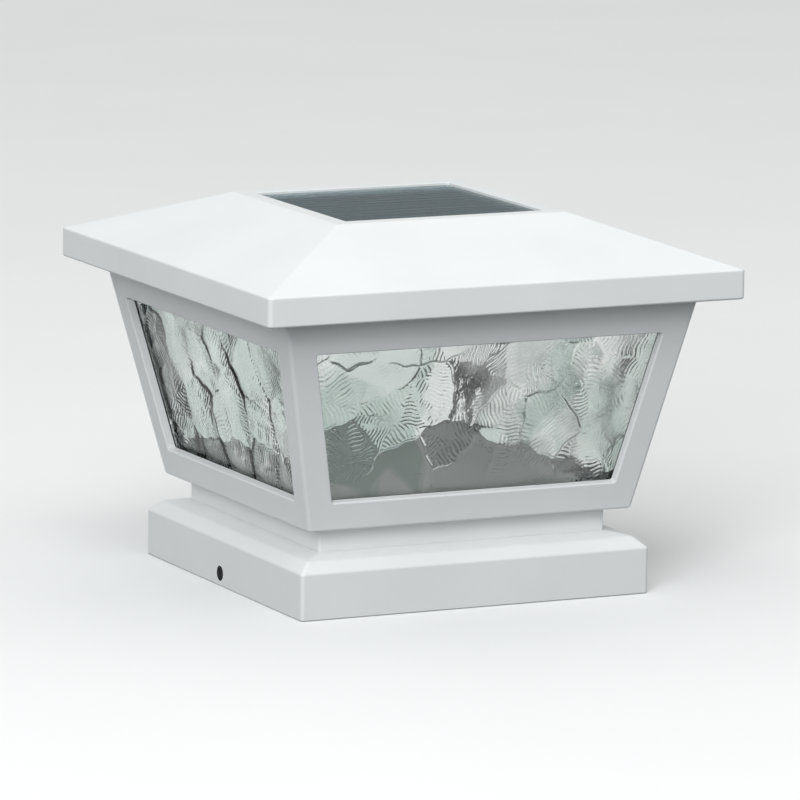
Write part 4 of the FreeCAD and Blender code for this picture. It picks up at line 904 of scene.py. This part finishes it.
def build_lantern(coat):
    """Lantern: a square profile from the floor's middle up the inside, over the flange, down the
    leaning face and back under the floor, with four windows cut through it. Ribs and bosses stand
    on the inside of each face, and four bosses stand under the floor, inside the neck."""
    lantern = settings().lantern
    _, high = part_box("lantern_frame")
    _, neck_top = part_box("neck_collar")
    _, sine, cosine = face_measures()
    under_flange = high.z - lantern.flange
    slope = sine / cosine
    level_wall = lantern.wall / cosine
    floor_top = neck_top.z + lantern.floor
    bottom = lantern.bottom_width / 2
    inner_low = bottom + lantern.floor * slope - level_wall
    inner_high = bottom + (high.z - neck_top.z) * slope - level_wall
    corner = lantern.corner
    inner_corner = 0.5 * MM
    profile = [
        (0, floor_top, 0),
        (inner_low, floor_top, inner_corner),
        (inner_high, high.z, inner_corner),
        (high.x, high.z, corner),
        (high.x, under_flange, corner),
        (lantern.top_width / 2, under_flange, corner),
        (bottom, neck_top.z, corner),
        (0, neck_top.z, 0),
    ]
    inner_edge = 0.4 * MM
    flange_edge = 0.5 * MM
    foot_edge = 1.1 * MM
    radii = [0, inner_edge, inner_edge, flange_edge, flange_edge, flange_edge, foot_edge, 0]
    body = shell(square_rings(profile, radii, settings().steps))
    cutters = [window_cutter(quarter) for quarter in range(4)]
    for centre in corners_of("roof_screws", settings().screw.roof[0]):
        hole = rod(lantern.screw_hole, under_flange - PAST, high.z + PAST, sides=24, centre=centre)
        cutters.append(shell(hole))
    extras = face_fittings()
    for centre in corners_of("base_screws", settings().screw.base[0]):
        extras.append(pillar(centre, settings().skirt.floor_top, neck_top.z + PAST, lantern.floor_boss))
    add_piece("lantern_casting", [body], "base", ["lantern_frame"], coat, cutters, extras)


def build_roof(coat):
    """Roof: a square profile from the pocket's floor up its wall, over the flat top, down the hips
    and the rim, and back along the underside to the tray under the panel. Corner bosses, the
    housing's bosses and the seal's rib stand on the underside."""
    roof = settings().roof
    low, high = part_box("roof_cap")
    _, panel_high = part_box("panel_cover")
    tape_low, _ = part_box("panel_tape")
    pocket = panel_high.x + roof.panel_gap
    rim_top = low.z + roof.rim_height
    top = roof.top_width / 2
    slope = (high.z - rim_top) / (high.x - top)
    inner = high.x - roof.wall
    inner_rim = rim_top + roof.wall * slope - roof.wall * math.hypot(1, slope)
    under_top = high.z - roof.wall
    inner_top = inner - (under_top - inner_rim) / slope
    tray = pocket + roof.wall
    tray_under = tape_low.z - roof.tray_floor
    inner_corner = 0.5 * MM
    profile = [
        (0, tape_low.z, 0),
        (pocket, tape_low.z, CRISP),
        (pocket, high.z, CRISP),
        (top, high.z, roof.top_corner),
        (high.x, rim_top, roof.corner),
        (high.x, low.z, roof.corner),
        (inner, low.z, inner_corner),
        (inner, inner_rim, inner_corner),
        (inner_top, under_top, inner_corner),
        (tray, under_top, inner_corner),
        (tray, tray_under, inner_corner),
        (0, tray_under, 0),
    ]
    edge = roof.edge
    pocket_edge = 0.25 * MM
    inner_edge = 0.4 * MM
    radii = [0, 0, pocket_edge, edge * 2, edge, edge, inner_edge, edge, edge, 0, inner_edge, 0]
    body = shell(square_rings(profile, radii, settings().steps))
    hole_centre = (0, -roof.wire_place)
    hole = rod(roof.wire_hole, tray_under - PAST, tape_low.z + PAST, sides=32, centre=hole_centre)
    # the rib stands over the middle of the seal
    seal_low, seal_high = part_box("roof_seal")
    rib_inner = seal_high.x - (roof.seal_width + roof.seal_rib) / 2
    rib_outer = rib_inner + roof.seal_rib
    rib_top = inner_rim + (inner - rib_outer) * slope + PAST
    rib_foot = seal_high.z
    rib_corner = 0.4 * MM
    loop = [(rib_outer, rib_foot), (rib_outer, rib_top), (rib_inner, rib_top), (rib_inner, rib_foot)]
    rib = rings([(half, half, height, rib_corner) for half, height in loop], settings().steps)
    extras = [shell(rib, True)]
    _, cover_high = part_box("housing_cover")
    bosses = (
        ("roof_screws", settings().screw.roof[0], seal_low.z, roof.boss_radius),
        ("housing_screws", settings().screw.housing[0], cover_high.z, roof.housing_boss),
    )
    for screws, head, foot, radius in bosses:
        for x, y in corners_of(screws, head):
            boss_top = inner_rim + (inner - abs(x)) * slope + PAST
            extras.append(pillar((x, y), foot, boss_top, radius))
    cutters = [shell(hole)]
    add_piece("roof_casting", [body], "roof", ["roof_cap"], coat, cutters, extras)


# ---------------------------------------------------------------- glass
# each pane is cut from another stretch of the rolled sheet
SEEDS = {"front": 11, "right": 12, "back": 13, "left": 34}


def scatter_cells(across, up, draw):
    """The relief's cells: a lattice of seeds whose every second row stands half a cell aside, each
    seed moved at random, with a strength, a drop and a tilt of its own."""
    glass = settings().glass
    jitter = 0.38
    weakest = 0.65
    strongest = 1.5
    size = np.array([glass.cell_width, glass.cell_height])
    margin = 1.5 * size
    low = np.array([across.min(), up.min()]) - margin
    high = np.array([across.max(), up.max()]) + margin
    lattice = np.mgrid[low[0] : high[0] : size[0], low[1] : high[1] : size[1]]
    seeds = np.stack([axis.ravel() for axis in lattice], axis=-1)
    rows = np.round((seeds[:, 1] - low[1]) / size[1])
    seeds[:, 0] += (rows % 2) * size[0] / 2
    seeds += draw.uniform(-jitter, jitter, seeds.shape) * size
    strength = draw.uniform(weakest, strongest, len(seeds))
    drop = draw.uniform(0, glass.cell_drop, len(seeds))
    tilt = draw.normal(0, glass.cell_tilt, seeds.shape)
    return seeds, strength, drop, tilt


def border_number(first, second):
    """A number from 0 to 1 for each side of each border: the remainder of a weighted sum of the two
    cells' numbers, moved on by 0.37 on one side."""
    steps = 97
    mixed = (131 * np.minimum(first, second) + 71 * np.maximum(first, second)) % steps / steps
    return (mixed + (first > second) * 0.37) % 1


def comb_grooves(place, seeds, first, second, gap):
    """Grooves that run in from a border like the teeth of a comb: a sine wave along the border,
    raised to a power that narrows it, fading as a bell curve of the distance in. The border's own
    number sets how deep, how slanted and how long they are."""
    glass = settings().glass
    fade_in = 0.5 * MM
    sway = 0.25 * MM
    sway_run = 3.1 * MM
    narrowing = 2.5
    between = seeds[second] - seeds[first]
    span = np.linalg.norm(between, axis=1)
    along = (place * between[:, ::-1] * np.array([-1, 1])).sum(1) / span
    chance = border_number(first, second)
    # a low number leaves its side of a border plain, and its multiples give two further numbers
    present = np.clip((chance - 0.15) * 12, 0, 1)
    slant = 1.7 * ((chance * 29) % 1 - 0.5)
    reach = glass.groove_reach * (0.55 + 0.9 * ((chance * 13) % 1))
    bend = sway * np.sin(along / sway_run + 9 * chance)
    wave = 0.5 + 0.5 * np.sin((along + slant * gap + bend) * 2 * math.pi / glass.groove_pitch)
    fade = np.exp(-((gap / reach) ** 4)) * (1 - np.exp(-gap / fade_in))
    return glass.groove_depth * wave**narrowing * present * fade


def relief(across, up, seed):
    """Depth of the rolled relief behind the pane's outer plane. Each point belongs to the seed for
    which the squared distance over the seed's strength is least, so the borders are arcs. The depth
    grows with that same measure, so each cell is a shallow mound and two neighbours meet in a valley
    at one depth, apart from each cell's small drop and tilt. There the three nearest cells are
    mixed, with weights that fall off exponentially. Comb grooves and faint drag lines are added, and
    a hyperbolic tangent keeps the depth in bounds."""
    glass = settings().glass
    draw = np.random.default_rng(seed)
    seeds, strength, drop, tilt = scatter_cells(across, up, draw)
    place = np.stack([across, up], axis=-1).reshape(-1, 2)
    # short waves make the borders uneven
    wave_length = 7 * MM
    swing = 0.35 * MM
    phase = draw.uniform(0, 2 * math.pi, 2)
    place = place + swing * np.sin(place[:, ::-1] * (2 * math.pi / wave_length) + phase)
    offset = place[:, None] - seeds[None]
    distance = (offset**2).sum(-1) / strength
    half_cell = (glass.cell_width + glass.cell_height) / 4
    face = drop + (offset * tilt).sum(-1) + glass.cell_crown / half_cell**2 * distance
    nearest = np.argpartition(distance, (0, 1, 2), axis=1)[:, :3]
    near = np.take_along_axis(distance, nearest, axis=1)
    depths = np.take_along_axis(face, nearest, axis=1)
    first, second, _ = nearest.T
    span = np.linalg.norm(seeds[second] - seeds[first], axis=1)
    from_border = (near - near[:, :1]) / (2 * span[:, None])
    share = np.exp(-from_border * 4 / glass.crease)
    depth = (share * depths).sum(1) / share.sum(1)
    depth += comb_grooves(place, seeds, first, second, from_border[:, 1])
    # drag lines of the roller, thousandths of a millimetre deep, that wander from side to side
    wander = 2.3 * np.sin(place[:, 1] / (6 * MM))
    depth += 0.006 * MM * np.sin(place[:, 0] / (0.9 * MM) + wander)
    half = glass.relief / 2
    return (half * (1 + np.tanh((depth - depth.mean()) / half))).reshape(across.shape)


def build_pane(side, quarter, material):
    """A pane: a fine grid with the relief on its outer face, a plain wall round its edge, and a flat
    inner face. The grid's columns fan out with the trapezium."""
    glass = settings().glass
    lantern = settings().lantern
    slope_length, sine, cosine = face_measures()
    outer = lantern.wall + glass.seal
    low = (lantern.floor + glass.foot_gap - outer * sine) / cosine
    high = slope_length - lantern.top_rail + glass.lap
    inset = lantern.stile - glass.lap
    rows = round((high - low) / glass.spacing)
    columns = round((lantern.top_width - 2 * inset) / glass.spacing)
    up = np.linspace(low, high, rows)[:, None] + np.zeros(columns)
    half = lantern.bottom_width / 2 + up * sine - inset
    across = half * np.linspace(-1, 1, columns)
    depth = outer + relief(across, up, SEEDS[side])
    face = np.stack([across, up, depth], axis=-1)
    number_of = np.arange(rows * columns).reshape(rows, columns)
    edges = (number_of[0, :-1], number_of[:-1, -1], number_of[-1, :0:-1], number_of[:0:-1, 0])
    loop = np.concatenate(edges)
    rim = face.reshape(-1, 3)[loop].copy()
    rim[:, 2] = pane_back()
    middle = rim.mean(axis=0, keepdims=True)
    points = np.concatenate([face.reshape(-1, 3), rim, middle])
    rim_first = rows * columns
    around = np.arange(len(loop))
    beside = (around + 1) % len(loop)
    wall = np.stack([loop[around], loop[beside], rim_first + beside, rim_first + around], axis=-1)
    centre = np.full(len(loop), rim_first + len(loop))
    back = np.stack([rim_first + around, rim_first + beside, centre, centre], axis=-1)
    faces = np.concatenate([grid_faces(rows, columns, False, False), wall, back])
    shells = [(on_side(points, quarter), faces)]
    add_piece(f"pane_{side}", shells, "base", [f"glass_{side}"], material)


# ---------------------------------------------------------------- panel
def build_panel_cover(material):
    """The clear cover: a thin slab with softly rounded edges, just clear of the cells under it."""
    low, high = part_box("panel_cover")
    gap = 0.05 * MM
    bottom = low.z + gap
    corner = 0.6 * MM
    bottom_edge = 0.2 * MM
    profile = [(0, high.z, 0), (high.x, high.z, corner), (high.x, bottom, corner), (0, bottom, 0)]
    grid = square_rings(profile, [0, CRISP, bottom_edge, 0], steps=3)
    add_piece("panel_laminate", [shell(grid)], "roof", ["panel_cover"], material)


# ---------------------------------------------------------------- screws, lens and cells
def screw_surface(sizes, sunk, turn):
    """A screw with its head up and its bearing plane at zero. The head's top is a shallow dome, its
    height falling with the square of the radius, less a cross: two arms whose depth falls off at
    their sides and towards their ends. A sunk head is flat and narrows to the shank as a cone."""
    head, head_height, shank, run = sizes
    sides = 48
    circles = 15
    angle = np.arange(sides) * 2 * math.pi / sides
    radius = head * np.linspace(0, 1, circles)[:, None]
    x = radius * np.cos(angle)
    y = radius * np.sin(angle)
    u = np.abs(x * math.cos(turn) - y * math.sin(turn))
    v = np.abs(x * math.sin(turn) + y * math.cos(turn))
    arm = 0.15 * head
    reach = 0.62 * head
    cross = np.clip((arm - np.minimum(u, v)) / (0.5 * arm) + 0.5, 0, 1)
    cross *= np.clip((reach - np.maximum(u, v)) / (0.4 * reach), 0, 1)
    cross_depth = 0.6 * head_height
    dome = 0 if sunk else 0.3 * head_height * (radius / head) ** 2
    top = np.stack([x, y, head_height - dome - cross_depth * cross], axis=-1)
    brim = 0.15 * head_height
    shoulder = [] if sunk else [(head, brim), (head - brim, 0)]
    outline = [*shoulder, (shank, 0), (shank, -run + shank / 2), (shank / 2, -run), (0, -run)]
    return np.concatenate([top, turned(outline, sides=sides)])


def build_screws(steel):
    """All screws, each group in one mesh. They face down under the base, the eaves and the housing,
    up on the board, and inwards on the glass clips. Each cross stands at an angle of its own."""
    screw = settings().screw
    lantern = settings().lantern
    groups = {
        "base_screws": (screw.base, "base", True, -1),
        "roof_screws": (screw.roof, "base", False, -1),
        "housing_screws": (screw.housing, "roof", False, -1),
        "board_screws": (screw.board, "roof", False, 1),
    }
    for node, (sizes, body, sunk, way) in groups.items():
        low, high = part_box(node)
        seat = low.z + sizes[1] if way < 0 else high.z - sizes[1]
        shells = []
        for index, (x, y) in enumerate(corners_of(node, sizes[0])):
            local = screw_surface(sizes, sunk, 0.5 + 1.3 * index)
            shells.append(shell(local * np.array([1, 1, way]) + np.array([x, y, seat])))
        add_piece(f"{node}_cross_head", shells, body, [node], steel)
    seat = pane_back() + lantern.clip_gap + lantern.clip_thickness
    shells = []
    for quarter in range(4):
        for side in (-1, 1):
            local = screw_surface(screw.clip, False, 0.4 + quarter + side)
            placed = local + np.array([side * lantern.clip_place, clip_row(), seat])
            shells.append(shell(on_side(placed, quarter)))
    add_piece("clip_screws_cross_head", shells, "base", ["glass_clip_screws"], steel)


def build_lens(material):
    """The lens, a surface of revolution: a cup with a flange. Its lower face has rings, whose depth
    is the size of the sine of the radius, so they never stand proud of the cup."""
    module = settings().module
    low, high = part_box("light_lens")
    housing_low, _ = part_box("light_housing")
    outer = module.lens_radius
    inner = outer - module.lens_wall
    tip = outer - module.lens_chamfer
    chamfer_top = low.z + module.lens_chamfer
    inside = low.z + module.lens_wall
    half_wall = module.lens_wall / 2
    flange = housing_low.z + module.housing_floor
    circles = 48
    radius = np.linspace(0, tip, circles)
    ring = low.z + module.lens_ring_depth * np.abs(np.sin(math.pi * radius / module.lens_ring))
    outline = [*zip(radius.tolist(), ring.tolist()), (outer, chamfer_top), (outer, flange)]
    outline += [(high.x, flange), (high.x, high.z), (inner, high.z), (inner, chamfer_top + half_wall)]
    outline += [(tip - half_wall, inside), (0, inside)]
    body = shell(turned(outline, sides=72))
    add_piece("frosted_lens", [body], "roof", ["light_lens"], material)


def build_cell(name, node, direction, material):
    """A cell: a round can along X with a crimp before its shoulder, and a nub at one end."""
    module = settings().module
    low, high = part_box(node)
    radius = (high.z - low.z) / 2
    run = high.x - low.x
    edge = module.can_edge
    nub = module.nub_radius
    nub_edge = edge / 2
    shoulder = run - module.nub_height
    crimp = shoulder - module.crimp_place
    outline = [(0, 0), (radius - edge, 0), (radius, edge), (radius, crimp - module.crimp_reach)]
    outline += [(radius - module.crimp_depth, crimp), (radius, crimp + module.crimp_reach)]
    outline += [(radius, shoulder - edge), (radius - edge, shoulder), (nub, shoulder)]
    outline += [(nub, run - nub_edge), (nub - nub_edge, run), (0, run)]
    grid = turned(outline, sides=48)[..., [2, 0, 1]]
    tail = low.x if direction > 0 else high.x
    place = np.array([tail, (low.y + high.y) / 2, (low.z + high.z) / 2])
    grid = grid * np.array([direction, 1, 1]) + place
    add_piece(name, [shell(grid)], "roof", [node], material)


# ---------------------------------------------------------------- stage
def build_floor():
    """A pale matt floor, wide enough to meet the sky behind the light."""
    half = 6.0
    corners = [(-half, -half, 0), (half, -half, 0), (-half, half, 0), (half, half, 0)]
    mesh = bpy.data.meshes.new("studio_floor")
    mesh.from_pydata(corners, [], grid_faces(2, 2, False, False).tolist())
    floor = bpy.data.objects.new("studio_floor", mesh)
    bpy.context.scene.collection.objects.link(floor)
    shade = (*settings().finish.floor, 1.0)
    material, shader, place = finish("matt_studio_paper", {"Roughness": 0.9})
    # fibres gather in faint clouds of about 120 mm
    fibre = add_node(material, "ShaderNodeTexNoise", {"Vector": place, "Scale": per(120), "Detail": 3.0})
    stops = [(0.35, darker(shade, 0.985)), (0.65, shade)]
    tone = add_node(material, "ShaderNodeValToRGB", {"Fac": fibre}, stops)
    plug(material, shader, {"Base Color": tone})
    mesh.materials.append(material)
    # the light stands out against the paper, so the paper throws no light back on to it
    floor.visible_diffuse = False


def add_area_light(name, place, aim_height, size, power, code):
    """A square soft light that looks at a point on the object's axis."""
    data = bpy.data.lights.new(name, "AREA")
    data.shape = "SQUARE"
    data.size = size
    data.energy = power
    data.color = linear(code)[:3]
    light = bpy.data.objects.new(name, data)
    bpy.context.scene.collection.objects.link(light)
    light.location = place
    aim = Vector((0, 0, aim_height))
    light.rotation_euler = (aim - Vector(place)).to_track_quat("-Z", "Y").to_euler()


def build_lights():
    """A tent of light: dim below, even round the horizon and bright overhead, with three soft lights
    in front, high, halfway and low. The tent's brightness follows the height of each direction."""
    stage = settings().stage
    world = bpy.data.worlds.new("studio_tent")
    world.use_nodes = True
    bpy.context.scene.world = world
    direction = add_node(world, "ShaderNodeTexCoord").outputs["Generated"]
    axes = add_node(world, "ShaderNodeSeparateXYZ", {"Vector": direction})
    height = add_node(world, "ShaderNodeMapRange", {"Value": axes.outputs["Z"], "From Min": -1.0})
    side = linear("#F4FCFF")
    top = linear("#FBFDFC")
    # straight below is 0, the horizon 0.5 and straight overhead 1
    stops = [
        (0.2, darker(side, stage.below)),
        (0.5, darker(side, stage.level)),
        (0.58, darker(side, stage.level)),
        (0.8, darker(top, stage.overhead)),
    ]
    shade = add_node(world, "ShaderNodeValToRGB", {"Fac": height}, stops)
    plug(world, world.node_tree.nodes["Background"], {"Color": shade})
    high_place = (-0.46, -1.0, 1.99)
    middle_place = (-1.29, -1.85, 1.63)
    low_place = (-1.95, -1.95, 0.95)
    add_area_light("high_light", high_place, aim_height=0.08, size=1.0, power=stage.high, code="#FFFFFF")
    add_area_light(
        "middle_light", middle_place, aim_height=0.06, size=1.0, power=stage.middle, code="#FDFEFF"
    )
    add_area_light("low_light", low_place, aim_height=0.05, size=0.9, power=stage.low, code="#F8FCFF")


def build_camera():
    """The camera stands back from its aim along its turn and rise, with a small sideways shift."""
    stage = settings().stage
    back = Vector(
        (
            math.sin(stage.turn) * math.cos(stage.rise),
            -math.cos(stage.turn) * math.cos(stage.rise),
            math.sin(stage.rise),
        )
    )
    right = Vector((math.cos(stage.turn), math.sin(stage.turn), 0))
    up = back.cross(right)
    place = Vector((0, 0, stage.aim_height)) + back * stage.distance
    place += right * stage.shift_right + up * stage.shift_up
    rolled_right = right * math.cos(stage.roll) + up * math.sin(stage.roll)
    rolled_up = up * math.cos(stage.roll) - right * math.sin(stage.roll)
    data = bpy.data.cameras.new("product_camera")
    data.sensor_width = 36.0
    data.lens = stage.lens
    data.clip_start = 0.05
    data.clip_end = 50.0
    camera = bpy.data.objects.new("product_camera", data)
    bpy.context.scene.collection.objects.link(camera)
    axes = Matrix((rolled_right, rolled_up, back)).transposed()
    camera.matrix_world = Matrix.Translation(place) @ axes.to_4x4()
    bpy.context.scene.camera = camera


# ---------------------------------------------------------------- operators
class CAPLIGHT_OT_castings(bpy.types.Operator):
    """Make the skirt, neck, lantern and roof castings"""

    bl_idname = "cap_light.castings"
    bl_label = "Castings"

    def execute(self, context):
        coat = powder_coated_aluminium()
        build_skirt(coat)
        build_neck(coat)
        build_lantern(coat)
        build_roof(coat)
        return {"FINISHED"}


class CAPLIGHT_OT_glass(bpy.types.Operator):
    """Make the four textured panes"""

    bl_idname = "cap_light.glass"
    bl_label = "Glass panes"

    def execute(self, context):
        material = rolled_glass()
        for quarter, side in enumerate(("front", "right", "back", "left")):
            build_pane(side, quarter, material)
        return {"FINISHED"}


class CAPLIGHT_OT_panel(bpy.types.Operator):
    """Make the solar panel's cover and finish what lies under it"""

    bl_idname = "cap_light.panel"
    bl_label = "Solar panel"

    def execute(self, context):
        build_panel_cover(clear_laminate())
        dress(monocrystalline_cells(), "solar_cells")
        dress(circuit_laminate("panel_backing_laminate", "#1B2429", "#222D33"), "panel_board")
        dress(closed_cell_foam(), "panel_tape")
        return {"FINISHED"}


class CAPLIGHT_OT_module(bpy.types.Operator):
    """Finish the light module under the roof"""

    bl_idname = "cap_light.module"
    bl_label = "Light module"

    def execute(self, context):
        module = settings().module
        abs_white = moulded_plastic("moulded_abs_white", (*settings().finish.plastic, 1.0))
        abs_black = moulded_plastic("moulded_abs_black", linear("#1E1F21"), 0.4)
        soften("housing_shell", "light_housing", "roof", abs_white, module.housing_edge)
        soften("housing_lid", "housing_cover", "roof", abs_white, module.lid_edge)
        soften("battery_bay_door", "battery_door", "door", abs_white, module.lid_edge)
        soften("switch_case", "switch_body", "roof", abs_black, module.small_edge)
        soften("switch_slider", "switch_knob", "knob", abs_black, module.small_edge)
        soften("chip_and_coil", "board_components", "roof", abs_black, module.small_edge)
        dress(abs_black, "wire_grommet")
        build_lens(frosted_polycarbonate())
        dress(phosphor_resin(), "led_chips")
        dress(circuit_laminate("circuit_board_laminate", "#1D5A38", "#2B7047"), "circuit_board")
        sleeve = shrink_sleeve()
        build_cell("cell_front", "battery_front", 1, sleeve)
        build_cell("cell_back", "battery_back", -1, sleeve)
        for tone, shade in (("red", "#B3201C"), ("black", "#1A1A1C")):
            insulation = wire_insulation(f"pvc_insulation_{tone}", shade)
            dress(insulation, f"panel_wire_{tone}", f"battery_wire_{tone}")
        return {"FINISHED"}


class CAPLIGHT_OT_small_parts(bpy.types.Operator):
    """Finish the seals, clips, contacts and screws"""

    bl_idname = "cap_light.small_parts"
    bl_label = "Seals, clips and screws"

    def execute(self, context):
        foam = closed_cell_foam()
        dress(foam, "roof_seal", *(f"glass_seal_{side}" for side in ("front", "right", "back", "left")))
        nickel = plated_steel("nickel_plated_spring_steel", "#C9C7C0", 0.28, 0.4)
        dress(nickel, "glass_clips", "battery_contacts", "battery_springs")
        stainless = plated_steel("stainless_screw_steel", "#B9BBBC", 0.32, 0.3)
        build_screws(stainless)
        return {"FINISHED"}


class CAPLIGHT_OT_stage(bpy.types.Operator):
    """Make the studio floor, lights and camera"""

    bl_idname = "cap_light.stage"
    bl_label = "Stage"

    def execute(self, context):
        build_camera()
        build_floor()
        build_lights()
        context.scene.view_settings.view_transform = "Standard"
        return {"FINISHED"}


class CAPLIGHT_PT_sidebar(bpy.types.Panel):
    """The post cap light's operators"""

    bl_idname = "CAPLIGHT_PT_sidebar"
    bl_label = "Post Cap Light"
    bl_space_type = "VIEW_3D"
    bl_region_type = "UI"
    bl_category = "Post Cap"

    def draw(self, context):
        for operator in OPERATORS:
            self.layout.operator(operator.bl_idname)


GROUPS = (
    SkirtSettings,
    LanternSettings,
    GlassSettings,
    RoofSettings,
    ScrewSettings,
    ModuleSettings,
    FinishSettings,
    StageSettings,
    CapLightSettings,
)
OPERATORS = (
    CAPLIGHT_OT_stage,
    CAPLIGHT_OT_castings,
    CAPLIGHT_OT_glass,
    CAPLIGHT_OT_panel,
    CAPLIGHT_OT_module,
    CAPLIGHT_OT_small_parts,
)


def register():
    """Registers the classes and puts the settings on the scene."""
    for item in (*GROUPS, *OPERATORS, CAPLIGHT_PT_sidebar):
        bpy.utils.register_class(item)
    bpy.types.Scene.cap_light = PointerProperty(
        name="Post cap light", description="Settings of the post cap light", type=CapLightSettings
    )


def unregister():
    """Takes the settings off the scene and unregisters the classes."""
    del bpy.types.Scene.cap_light
    for item in reversed((*GROUPS, *OPERATORS, CAPLIGHT_PT_sidebar)):
        bpy.utils.unregister_class(item)


def main():
    """Builds everything by its operators."""
    register()
    bpy.ops.cap_light.stage()
    bpy.ops.cap_light.castings()
    bpy.ops.cap_light.glass()
    bpy.ops.cap_light.panel()
    bpy.ops.cap_light.module()
    bpy.ops.cap_light.small_parts()


if __name__ == "__main__":
    main()
